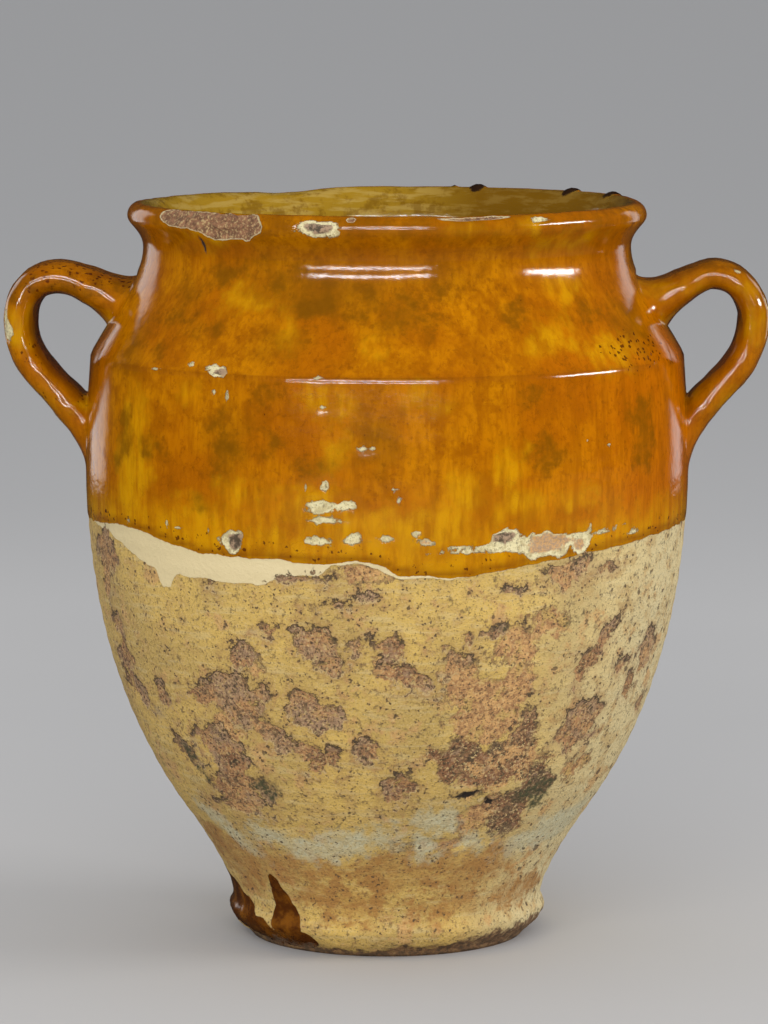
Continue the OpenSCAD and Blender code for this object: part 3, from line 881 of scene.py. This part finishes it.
def wear_skin(skin, s):
    """Places every coat and scar of the skin, keeps them for the material, and moves the relief."""
    wall = (1 - skin.strap) * skin.outer
    fine = weave(skin.points, 2.5, 3, 3.1)
    middling = weave(skin.points, 9, 3, 5.9)
    broad = weave(skin.points, 60, 2, 2.2)
    edge = skin.run_at(skin.round_to(GLAZE_EDGE))
    kept = {}
    for name, (places, ragged, *behind) in MARKS.items():
        kept[name], rise = skin.inside_marks(places + (strewn(*behind) if behind else ()), ragged)
        # How high up its flake each point lies, so that the material can paint shadow along the flakes'
        # upper edges and highlight along their lower ones
        if name == "flake":
            kept["flake_rise"] = rise
    kept["glaze"] = np.where(skin.outer, skin.run - edge + GLAZE_WANDER * middling, FAR)
    kept["slip"] = skin.run - skin.run_at(skin.round_to(SLIP_EDGE)) + SLIP_WANDER * middling
    kept["chip"] = np.maximum(kept["chip"] * wall - FAR * (1 - wall), skin.inside_places(STRAP_CHIPS))
    foot_worn = skin.round_to(FOOT_WEAR) - skin.height + FOOT_WANDER * middling
    kept["foot_worn"] = np.where(skin.outer, foot_worn, -FAR)
    # Under the pot only the ring it stands on is worn dark, and within it lies bare clay
    beneath = (skin.height < LEVEL_SPARE) & skin.outer
    within_ring = smooth_step(s.ground_radius / MM - skin.radius, 2, 20)
    kept["foot_worn"] -= 12 * beneath * within_ring
    kept["salmon"] = np.where(beneath, 8, kept["salmon"])
    kept["pool"] = wall * np.maximum.reduce([
        strength * np.exp(-((along - at) / spread) ** 2)
        for along, (at, spread, strength) in (
            *((skin.height, pool) for pool in POOLS), (skin.run - edge, EDGE_POOL))
    ])
    kept["speckled"] = np.maximum(kept["speckled"], 3 - np.abs(skin.run - edge - 3))
    # The straps are darker where they face the middle of their loop: painted shade between the loop and the
    # wall. The right strap is also a little darker all over, a tone of its glaze.
    to_loop = -skin.points
    to_loop[:, 0] += np.sign(skin.points[:, 0]) * LOOP_MIDDLE[0]
    to_loop[:, 2] += LOOP_MIDDLE[1]
    facing = np.einsum("ij,ij->i", skin.normal, to_loop) / np.linalg.norm(to_loop, axis=1)
    kept["under"] = smooth_step(skin.strap, 0.2, 1) * smooth_step(facing, 0.1, 0.8)
    kept["under"] = np.maximum(kept["under"], skin.strap * np.where(skin.points[:, 0] > 0, 0.45, 0.15))
    # Broad shares: the inside, the thin glaze low on the wall, the inside's browner half, and the
    # right of the front, which fired redder
    kept["inner"] = 1.0 - skin.outer
    kept["thin"] = 1 - smooth_step(skin.run - edge + 5 * middling, 3, 20)
    kept["inner_brown"] = smooth_step(skin.points[:, 0], -10, 45)
    kept["front_right"] = smooth_step(skin.turn, 20, 70) * (1 - smooth_step(skin.turn, 90, 150))
    kept["front_right"] *= (1 - 0.7 * skin.strap) * (1 - 0.8 * smooth_step(skin.height, 231, 255))
    kept["scar"] = np.full(len(skin.turn), -FAR)
    scar_depth = np.zeros(len(skin.turn))
    for *mark, deep in RIM_SCARS:
        inside, rise = skin.inside_marks((mark,), SCAR_RAGGED)
        kept["scar"] = np.maximum(kept["scar"], inside)
        scar_depth = np.maximum(scar_depth, deep * smooth_step(inside, -0.3, 0.55 * min(mark[3], 5)))
    for name, values in kept.items():
        skin.keep(name, values)

    # What the flakes, chips, cracks and scars take off the skin, and what the throwing left on it
    bare = 1 - smooth_step(kept["glaze"], -0.6, 0.6)
    worn_through = np.maximum(np.maximum(kept["flake"], kept["salmon"]), kept["rough"])
    flaked = smooth_step(worn_through, -0.5, 1.0) * bare
    chipped = smooth_step(kept["chip"], -0.3, 0.8) * (1 - bare)
    hollow = GLAZE_THICKNESS * bare + SLIP_THICKNESS * flaked * (0.75 + 0.6 * fine) + CHIP_DEPTH * chipped
    hollow += CRACK_DEPTH * smooth_step(kept["crack"], -0.3, 0.6) * wall
    hollow += ROUGH_DEPTH * smooth_step(kept["rough"], 0, 2) * fine
    hollow += scar_depth * (0.85 + 0.35 * fine)
    near_foot = 1 - smooth_step(skin.height, *FOOT_HEIGHTS)
    rings = np.sin(skin.run / THROWING_PITCH * math.tau + 2 * broad) * (0.5 + 0.5 * wall)
    relief = (RING_DEPTH[0] + RING_DEPTH[1] * bare) * rings
    relief += 0.25 * np.minimum(broad, 0.4) + 0.12 * middling * bare
    relief -= near_foot * wall * (0.5 + 0.75 * middling + 0.2 * fine) * smooth_step(skin.height, 0, 2)
    relief += skin.strap * (0.35 * middling + 0.2 * broad)
    still = (skin.height < LEVEL_SPARE) | ~skin.outer & (skin.height < STILL_BELOW)
    skin.co += skin.normal * (np.where(still, 0, relief - hollow) * MM)[:, None]
    # The uneven crest of the rim, and the lumps on it
    crest = smooth_step(skin.height, *CREST_HEIGHTS) * smooth_step(skin.radius, *CREST_RADII)
    skin.co[:, 2] += crest * (skin.round_to(RIM_RISE) + 0.15 * middling) * MM
    lump = np.full(len(skin.turn), -FAR)
    for at, radius, rise in RIM_LUMPS:
        way = math.radians(at)
        middle = np.array([
            s.crest_radius * math.sin(way), -s.crest_radius * math.cos(way),
            s.pot_height + (rise - radius) * MM])
        out = skin.co - middle
        far = np.linalg.norm(out, axis=1)
        held = far < radius * MM
        lump = np.maximum(lump, np.where(skin.height > LUMPS_FROM, radius - far / MM, -FAR))
        skin.co[held] = middle + out[held] / far[held][:, None] * radius * MM
    skin.keep("lump", lump)
    # The belly stays within its size
    reach = np.maximum(np.hypot(skin.co[:, 0], skin.co[:, 1]), 1e-6)
    within = np.minimum(1, (s.belly_radius + BELLY_SPARE * MM) / reach)
    skin.co[:, :2] *= np.where(skin.strap == 0, within, 1)[:, None]
    skin.mesh.vertices.foreach_set("co", skin.co.ravel())
    skin.mesh.update()


def unwrap(skin, floor_height):
    """Opens the skin flat for the bake: the wall above, and the inside, ends and straps below it."""
    mesh = skin.mesh
    corner_vert = gathered(mesh.loops, "vertex_index", int)
    starts = gathered(mesh.polygons, "loop_start", int)
    totals = gathered(mesh.polygons, "loop_total", int)
    face = np.repeat(np.arange(len(starts)), totals)

    def face_mean(values):
        return (np.add.reduceat(values[corner_vert].astype(float), starts) / totals)[face]

    def joined(values, full):
        """Values that run round in a ring, carried on past the seam within each face."""
        at = values[corner_vert].astype(float)
        widest = np.maximum.reduceat(at, starts)[face] - np.minimum.reduceat(at, starts)[face]
        return np.where((widest > full / 2) & (at < face_mean(values)), at + full, at)

    turn = joined(skin.turn, 360)
    ring = joined(skin.ring, sum(UPPER_PATCH) * 2)
    height = skin.height[corner_vert]
    x, y = skin.points[corner_vert, 0], skin.points[corner_vert, 1]
    on_strap = face_mean(skin.strap) > 0
    outside = face_mean(skin.outer) == 1
    level = np.maximum.reduceat(height, starts)[face]
    under = outside & (level < LEVEL_SPARE)
    bottom = ~outside & (level < floor_height + LEVEL_SPARE)
    right = face_mean(skin.co[:, 0]) > 0
    islands = (
        (outside & ~on_strap & ~under, turn, skin.run[corner_vert], (0.004, 0.31, 0.996, 0.996)),
        (~outside & ~bottom, turn, -height, (0.004, 0.006, 0.5, 0.3)),
        (on_strap & right, ring, skin.strap_run[corner_vert], (0.51, 0.006, 0.66, 0.3)),
        (on_strap & ~right, ring, skin.strap_run[corner_vert], (0.67, 0.006, 0.82, 0.3)),
        (under, x, y, (0.83, 0.006, 0.97, 0.146)),
        (bottom, x, y, (0.83, 0.156, 0.97, 0.296)),
    )
    spread = np.zeros((len(corner_vert), 2))
    for chosen, across, up, (left, low, far_right, high) in islands:
        for axis, (values, start, end) in enumerate(((across, left, far_right), (up, low, high))):
            part = values[chosen]
            spread[chosen, axis] = start + (part - part.min()) / (part.max() - part.min()) * (end - start)
    mesh.uv_layers.new(name="OFBake").data.foreach_set("uv", spread.ravel())


def add(tree, kind, settings, *values, out=None):
    """Adds a node with its settings, and fills or links its live inputs in order. Returns its output."""
    node = tree.nodes.new("ShaderNode" + kind)
    for name, value in settings.items():
        setattr(node, name, value)
    live = [socket for socket in node.inputs if socket.enabled]
    for socket, value in zip(live, values):
        if isinstance(value, bpy.types.NodeSocket):
            tree.links.new(value, socket)
        elif value is not None:
            socket.default_value = value
    return node.outputs[out] if out else next(socket for socket in node.outputs if socket.enabled)


def lead_glazed_earthenware(colours):
    """Thrown earthenware under honey lead glaze and cream slip. The glaze is a thick glossy skin that
    pools dark in hollows, lets the slip shine through and is crazed and specked with iron; the straps' inner
    faces get painted shade in the pooled tone. Where the coats have flaked, the eye meets matt pink-brown
    clay with broken edges, given painted shadow above and painted highlight below."""
    material = bpy.data.materials.new("lead_glazed_earthenware")
    material.use_nodes = True
    tree = material.node_tree
    make = functools.partial(add, tree)
    paint = {name: (*getattr(colours, name), 1) for name in PotColours.__annotations__}

    place = make("TexCoord", {}, out="Object")
    where = {"all": place, "upright": make("Mapping", {}, place, None, None, (1, 1, 0.2)),
             "level": make("Mapping", {}, place, None, None, (0.25, 0.25, 1.6))}
    pattern = {}
    for name, way, size, octaves, harsh in NOISES:
        pattern[name] = make("TexNoise", {}, where[way], 1 / (size * MM), octaves, harsh)
    drift = make("TexNoise", {}, place, 1 / (2.4 * MM), 2, 0.6, out="Color")
    warped = make("VectorMath", {"operation": "MULTIPLY_ADD"}, drift, (2.6 * MM,) * 3, place)
    for name, feature, size in CELLS:
        pattern[name] = make("TexVoronoi", {"feature": feature}, warped, 1 / (size * MM))
    uneven = make(*MINUS, pattern["ragged"], 0.5)
    patchy = make(*MINUS, pattern["mottle"], 0.5)
    depth = {}
    mask = {}
    for name, ragged, blotched, outside, inside in MASKS:
        kept = make("Attribute", {"attribute_name": name}, out="Fac")
        depth[name] = make(*TIMES_PLUS, uneven, ragged, make(*TIMES_PLUS, patchy, blotched, kept))
        mask[name] = make(*FADE, depth[name], outside, inside)
    pool, under, thin, inner, inner_brown, right, flake_rise = (
        make("Attribute", {"attribute_name": name}, out="Fac")
        for name in ("pool", "under", "thin", "inner", "inner_brown", "front_right", "flake_rise")
    )

    def veiled(tone, *veils):
        """Lays veils over a tone, each as the pattern it follows, the pattern's values where it starts
        and where it is whole, its strength there, and its tint."""
        for name, start, whole, strength, tint in veils:
            amount = make(*FADE, pattern[name], start, whole, 0, strength)
            tone = make(*BLEND, amount, tone, paint[tint])
        return tone

    # Slip and clay below the glaze, from broad changes of tone to fine ones
    ground = veiled(paint["buff"], ("cloud", 0.35, 0.65, 1, "buff_deep"))
    ground = make(*BLEND, make(*TIMES, right, 0.7), ground, paint["buff_pale"])
    ground = veiled(
        ground, ("mottle", 0.46, 0.62, 0.6, "rubbed"), ("wiped", 0.52, 0.66, 0.22, "buff_pale"),
        ("dusty", 0.54, 0.64, 0.65, "clay_salmon"), ("grit", 0.46, 0.36, 0.5, "pale_grain_and_highlight"),
        ("ragged", 0.55, 0.66, 0.6, "dirt_and_shadow"))
    near_flake = make(*TIMES, make(*FADE, depth["flake"], -5, 0, 0, 0.6), pattern["mottle"])
    ground = make(*BLEND, near_flake, ground, paint["clay_brown"])
    clay = veiled(
        paint["clay_pink"], ("mottle", 0.38, 0.62, 1, "clay_brown"),
        ("cloud", 0.44, 0.6, 0.45, "clay_salmon"), ("dusty", 0.46, 0.62, 0.7, "clay_grey"),
        ("ragged", 0.48, 0.36, 0.75, "rubbed"), ("ragged", 0.51, 0.61, 0.85, "dark_patch"),
        ("grit", 0.56, 0.64, 0.7, "dirt_and_shadow"), ("grit", 0.44, 0.37, 0.65, "pale_grain_and_highlight"))
    salmon = veiled(
        paint["clay_salmon"], ("ragged", 0.4, 0.62, 0.75, "clay_brown"),
        ("mottle", 0.52, 0.62, 0.7, "buff_deep"), ("grit", 0.55, 0.62, 0.6, "dirt_and_shadow"),
        ("grit", 0.44, 0.37, 0.55, "pale_grain_and_highlight"))
    gritty = (("ragged", 0.53, 0.6, 0.95, "dirt_and_shadow"), ("ragged", 0.46, 0.36, 0.6, "clay_grey"),
              ("grit", 0.45, 0.37, 0.85, "pale_grain_and_highlight"))
    rough = veiled(paint["clay_brown"], ("mottle", 0.42, 0.6, 1, "clay_salmon"), *gritty)
    dark = veiled(paint["dark_patch"], ("mottle", 0.42, 0.58, 1, "clay_brown"), *gritty)

    # Broken outlines round the flakes, with painted shadow along their upper edges and painted highlight
    # along their lower ones, and the pits and grains of the slip
    broken = make(*FADE, pattern["mottle"], 0.38, 0.54)
    outline = {}
    for name, reach, strength in (("flake", 0.9, 1), ("salmon", 1, 0.55), ("chip", 0.3, 0.3)):
        rising = make(*FADE, depth[name], -reach, 0)
        falling = make(*FADE, depth[name], 0.15, reach, strength, 0)
        outline[name] = make(*TIMES, make(*TIMES, rising, falling), broken)
    shaded = make(*TIMES, outline["flake"], make(*FADE, flake_rise, -0.2, 0.3, 0.15, 1))
    lit = make(*TIMES, outline["flake"], make(*FADE, flake_rise, -0.6, 0, 0.7, 0))
    pit_size = make(*FADE, pattern["mottle"], 0.35, 0.7, 0.08, 0.3)
    pits = make(*FADE, make(*MINUS, pattern["pits"], pit_size), -0.09, 0.03, 0.85, 0)
    hole_size = make(*TIMES_PLUS, right, 0.12, make(*FADE, pattern["dusty"], 0.4, 0.7, 0.02, 0.2))
    holes = make(*FADE, make(*MINUS, pattern["holes"], hole_size), -0.06, 0.02, 0.75, 0)
    grains = make(*FADE, pattern["grit"], 0.57, 0.65, 0, 0.62)

    # Glaze: honey over the slip, with brown clouds, thin yellow places, dark pools, painted shade on the
    # straps' inner faces, crazing and specks
    honey = veiled(
        paint["honey"], ("cloud", 0.36, 0.64, 1, "amber"), ("dusty", 0.42, 0.64, 0.6, "amber_deep"),
        ("mottle", 0.46, 0.68, 0.4, "amber_deep"))
    honey = make(*BLEND, make(*TIMES, right, 0.75), honey, paint["amber_red"])
    honey = veiled(
        honey, ("streak", 0.46, 0.66, 0.45, "amber_deep"), ("drips", 0.46, 0.62, 0.38, "amber_deep"),
        ("ragged", 0.55, 0.65, 0.35, "pooled"))
    cracked = make(*FADE, pattern["cloud"], 0.45, 0.7, 0.02, 0.4)
    thinned = make(*TIMES, thin, make(*FADE, pattern["streak"], 0.4, 0.62, 0.9, 0.35))
    for amount, tint in (
        (make(*TIMES, mask["smoky"], 0.66), "olive_brown"),
        (make(*TIMES, thinned, 0.85), "yellow"),
        (make(*TIMES, mask["yellow"], make(*FADE, pattern["streak"], 0.36, 0.64, 0.85, 0.25)), "yellow"),
        (make(*TIMES, mask["brown"], make(*FADE, pattern["mottle"], 0.36, 0.64, 0.35, 0.75)), "olive_brown"),
        (make(*TIMES, pool, 0.8), "pooled"),
        # Painted shade on the straps' inner faces, in the pooled glaze's tone
        (make(*TIMES, under, 0.7), "pooled"),
        (make(*TIMES, make(*FADE, pattern["crazing"], 0, 0.035, 1, 0), cracked), "pooled"),
    ):
        honey = make(*BLEND, amount, honey, paint[tint])
    clouded = make(*TIMES_PLUS, make(*FADE, pattern["dusty"], 0.46, 0.62), 0.35, inner_brown)
    inside = make(*BLEND, clouded, paint["inside_olive"], paint["inside_brown"])
    # Paler level streaks inside, mostly at the left: painted reflection on the inner glaze
    wiped = make(*TIMES, make(*FADE, pattern["wiped"], 0.44, 0.6), make(*FADE, inner_brown, 0, 1, 0.7, 0.2))
    inside = make(*BLEND, wiped, inside, paint["inside_pale"])
    inside = veiled(inside, ("mottle", 0.5, 0.62, 0.6, "inside_brown"))
    honey = make(*BLEND, inner, honey, inside)
    stray_specks = make(*FADE, pattern["mottle"], 0.56, 0.72, 0, 0.16)
    speck_size = make(*TIMES_PLUS, mask["speckled"], 0.33, stray_specks)
    specks = make(*FADE, make(*MINUS, pattern["specks"], speck_size), -0.07, 0, 0.85, 0)
    honey = make(*BLEND, specks, honey, paint["iron"])

    core = veiled(paint["clay_salmon"], ("grit", 0.4, 0.6, 1, "clay_grey"))
    chip = veiled(
        paint["cream"], ("ragged", 0.46, 0.62, 0.6, "thin_cream"), ("grit", 0.56, 0.64, 0.6, "dirt_and_shadow"))
    chip = make(*BLEND, mask["clay_chip"], chip, core)
    dusty_core = veiled(paint["dirt_and_shadow"], ("ragged", 0.42, 0.58, 1, "clay_grey"))
    chip = make(*BLEND, mask["hole"], chip, dusty_core)
    scar = veiled(
        paint["rim_clay"], ("ragged", 0.36, 0.62, 1, "rim_clay_dark"),
        ("grit", 0.52, 0.62, 0.6, "pale_grain_and_highlight"))
    scar = make(*BLEND, make(*FADE, depth["scar"], 0.1, 0.4, 0.8, 0), scar, paint["cream"])
    brown_glaze = veiled(paint["foot_brown"], ("mottle", 0.4, 0.65, 1, "foot_amber"))
    worn = veiled(paint["worn_foot"], ("ragged", 0.48, 0.58, 0.75, "dirt_and_shadow"))
    whole_slip = make(*TIMES, mask["slip"], make(*FADE, depth["flake"], -0.3, 0.5, 1, 0))

    # Coats from the clay up: how much of each lies there, its colour, its roughness, and its height in
    # millimetres
    tone, gloss, height = ground, 0.86, 0.0
    for amount, tint, coat_gloss, coat_height in (
        (mask["salmon"], salmon, 0.9, -0.25),
        (outline["salmon"], paint["dirt_and_shadow"], 0.92, -0.25),
        (mask["flake"], clay, 0.92, -0.45),
        # Painted shadow along the flakes' upper edges, and painted highlight along their lower ones
        (shaded, paint["dirt_and_shadow"], 0.92, -0.6),
        (lit, paint["pale_grain_and_highlight"], 0.9, -0.1),
        (mask["rough"], rough, 0.95, -0.4),
        (mask["dark"], dark, 0.95, -0.6),
        (make(*TIMES, mask["mossy"], make(*FADE, pattern["ragged"], 0.42, 0.58, 0.45, 0.95)),
         paint["moss"], 0.9, -0.3),
        (make(*TIMES, mask["orange_wear"], make(*FADE, pattern["mottle"], 0.36, 0.6, 0.35, 0.85)),
         paint["orange_clay"], 0.86, 0.0),
        (make(*TIMES, mask["bloom"], make(*FADE, pattern["ragged"], 0.38, 0.6, 1, 0.55)),
         paint["bloom"], 0.8, 0.05),
        (make(*TIMES, mask["foot_worn"], 0.75), paint["worn_foot"], 0.9, -0.1),
        (pits, paint["dirt_and_shadow"], 0.9, -0.35),
        (holes, paint["dirt_and_shadow"], 0.9, -0.5),
        (grains, paint["dirt_and_shadow"], 0.9, -0.1),
        (whole_slip, paint["cream_slip"], 0.42, 0.15),
        (mask["glaze"], honey, 0.1, 0.4),
        (make(*TIMES, mask["chip"], mask["glaze"]), chip, 0.62, 0.15),
        (make(*TIMES, outline["chip"], mask["glaze"]), paint["olive_brown"], 0.3, 0.2),
        (mask["foot_glaze"], brown_glaze, 0.14, 0.35),
        (make(*TIMES, mask["foot_worn"], make(*FADE, pattern["ragged"], 0.38, 0.5)), worn, 0.9, -0.3),
        (mask["lump"], paint["lump"], 0.2, 0.3),
        (mask["scar"], scar, 0.9, 0.0),
        (mask["crack"], paint["crack"], 0.9, -1),
        (mask["stone"], paint["pale_grain_and_highlight"], 0.9, 0.4),
    ):
        tone = make(*BLEND, amount, tone, tint)
        gloss = make("Mix", {}, amount, gloss, coat_gloss)
        height = make("Mix", {}, amount, height, coat_height)

    # Relief too fine for the mesh: coarse and gritty on the clay, and a faint peel on the glaze
    matt = make(*FADE, gloss, 0.2, 0.7)
    height = make(*TIMES_PLUS, make(*TIMES, pattern["ragged"], 0.9), matt, height)
    height = make(*TIMES_PLUS, make(*TIMES, pattern["grit"], 0.55), matt, height)
    height = make(*TIMES_PLUS, pattern["mottle"], 0.16, height)
    bump = make("Bump", {}, 1, MM, None, height)
    shader = tree.nodes["Principled BSDF"]
    for name, value in (("Base Color", tone), ("Roughness", gloss), ("Normal", bump)):
        tree.links.new(value, shader.inputs[name])
    shader.inputs["IOR"].default_value = LEAD_GLAZE_IOR
    return material


def put_in(scene, name, data):
    """Makes an object of a mesh, a camera or a lamp, and puts it in the scene."""
    made = bpy.data.objects.new(name, data)
    scene.collection.objects.link(made)
    return made


class OBJECT_OT_make_pot(bpy.types.Operator):
    """Throw the pot, pull its handles, wear its skin and glaze it"""

    bl_idname = "object.make_storage_pot"
    bl_label = "Make Pot"
    bl_options = {"REGISTER", "UNDO"}

    def execute(self, context):
        scene = context.scene
        mesh, rows, crest_row = make_shell(scene.pot_sizes)
        for polygon in mesh.polygons:
            polygon.use_smooth = True
        skin = Skin(mesh, rows, crest_row)
        unwrap(skin, scene.pot_sizes.base / MM)
        wear_skin(skin, scene.pot_sizes)
        mesh.materials.append(lead_glazed_earthenware(scene.pot_colours))
        pot = put_in(scene, PIECE, mesh)
        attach(pot, "root")
        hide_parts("pot")
        return {"FINISHED"}


class OBJECT_OT_make_stage(bpy.types.Operator):
    """Lay the floor and place the camera, the sky and the lamps"""

    bl_idname = "object.make_storage_pot_stage"
    bl_label = "Make Stage"
    bl_options = {"REGISTER", "UNDO"}

    def execute(self, context):
        scene = context.scene
        stage = scene.pot_stage
        scene.view_settings.view_transform = "Standard"

        bm = bmesh.new()
        bmesh.ops.create_circle(bm, cap_ends=True, segments=FLOOR_SIDES, radius=FLOOR_RADIUS)
        bmesh.ops.translate(bm, verts=bm.verts, vec=(0, 0, -FLOOR_DROP))
        mesh = bpy.data.meshes.new("floor")
        bm.to_mesh(mesh)
        bm.free()
        paper = bpy.data.materials.new("matt_paper")
        paper.use_nodes = True
        shader = paper.node_tree.nodes["Principled BSDF"]
        glossy = add(paper.node_tree, "LightPath", {}, out="Is Glossy Ray")
        tone = (*stage.floor_colour, 1)
        dark = (*(MIRRORED_FLOOR * c for c in stage.floor_colour), 1)
        seen = add(paper.node_tree, *BLEND, glossy, tone, dark)
        paper.node_tree.links.new(seen, shader.inputs["Base Color"])
        shader.inputs["Roughness"].default_value = PAPER_ROUGHNESS
        mesh.materials.append(paper)
        put_in(scene, "floor", mesh)

        camera = bpy.data.cameras.new("camera")
        camera.lens = stage.camera_lens
        camera.clip_end = 2 * FLOOR_RADIUS
        viewer = put_in(scene, "camera", camera)
        stand = Matrix.Translation((-stage.camera_shift, -stage.camera_distance, stage.camera_height))
        viewer.matrix_world = (
            Matrix.Rotation(stage.camera_turn, 4, "Z") @ stand
            @ Matrix.Rotation(math.pi / 2 - stage.camera_pitch, 4, "X")
        )
        scene.camera = viewer

        world = bpy.data.worlds.new("soft_light")
        world.use_nodes = True
        sky = world.node_tree.nodes["Background"]
        sky.inputs["Color"].default_value = (*stage.sky_colour, 1)
        glossy = add(world.node_tree, "LightPath", {}, out="Is Glossy Ray")
        mirrored = MIRRORED_SKY * stage.sky_strength
        strength = add(world.node_tree, "Mix", {}, glossy, stage.sky_strength, mirrored)
        world.node_tree.links.new(strength, sky.inputs["Strength"])
        scene.world = world
        for number, (turn, climb, distance, width, height, power) in enumerate(LAMPS):
            data = bpy.data.lights.new(f"lamp_{number}", "AREA")
            data.shape = "RECTANGLE"
            data.size = width
            data.size_y = height
            data.energy = power
            lamp = put_in(scene, data.name, data)
            reach = Vector((0, -distance, 0))
            reach.rotate(Euler((-math.radians(climb), 0, math.radians(turn))))
            lamp.location = reach + Vector(LAMP_AIM)
            lamp.rotation_euler = reach.to_track_quat("Z", "Y").to_euler()
        return {"FINISHED"}


class VIEW3D_PT_storage_pot(bpy.types.Panel):
    """The pot's operators and their values, in the sidebar"""

    bl_label = "Storage Pot"
    bl_space_type = "VIEW_3D"
    bl_region_type = "UI"
    bl_category = "Pot"

    def draw(self, context):
        for operator in OPERATORS:
            self.layout.operator(operator.bl_idname)
        for name, cls in GROUPS.items():
            box = self.layout.box()
            for field in cls.__annotations__:
                box.prop(getattr(context.scene, name), field)


GROUPS = {"pot_sizes": PotSizes, "pot_colours": PotColours, "pot_stage": PotStage}
OPERATORS = (OBJECT_OT_make_pot, OBJECT_OT_make_stage)


def register():
    for cls in (*GROUPS.values(), *OPERATORS, VIEW3D_PT_storage_pot):
        bpy.utils.register_class(cls)
    for name, cls in GROUPS.items():
        setattr(bpy.types.Scene, name, PointerProperty(type=cls))


def unregister():
    for name in GROUPS:
        delattr(bpy.types.Scene, name)
    for cls in (VIEW3D_PT_storage_pot, *reversed(OPERATORS), *reversed(GROUPS.values())):
        bpy.utils.unregister_class(cls)


def main():
    register()
    bpy.ops.object.make_storage_pot()
    bpy.ops.object.make_storage_pot_stage()


if __name__ == "__main__":
    main()
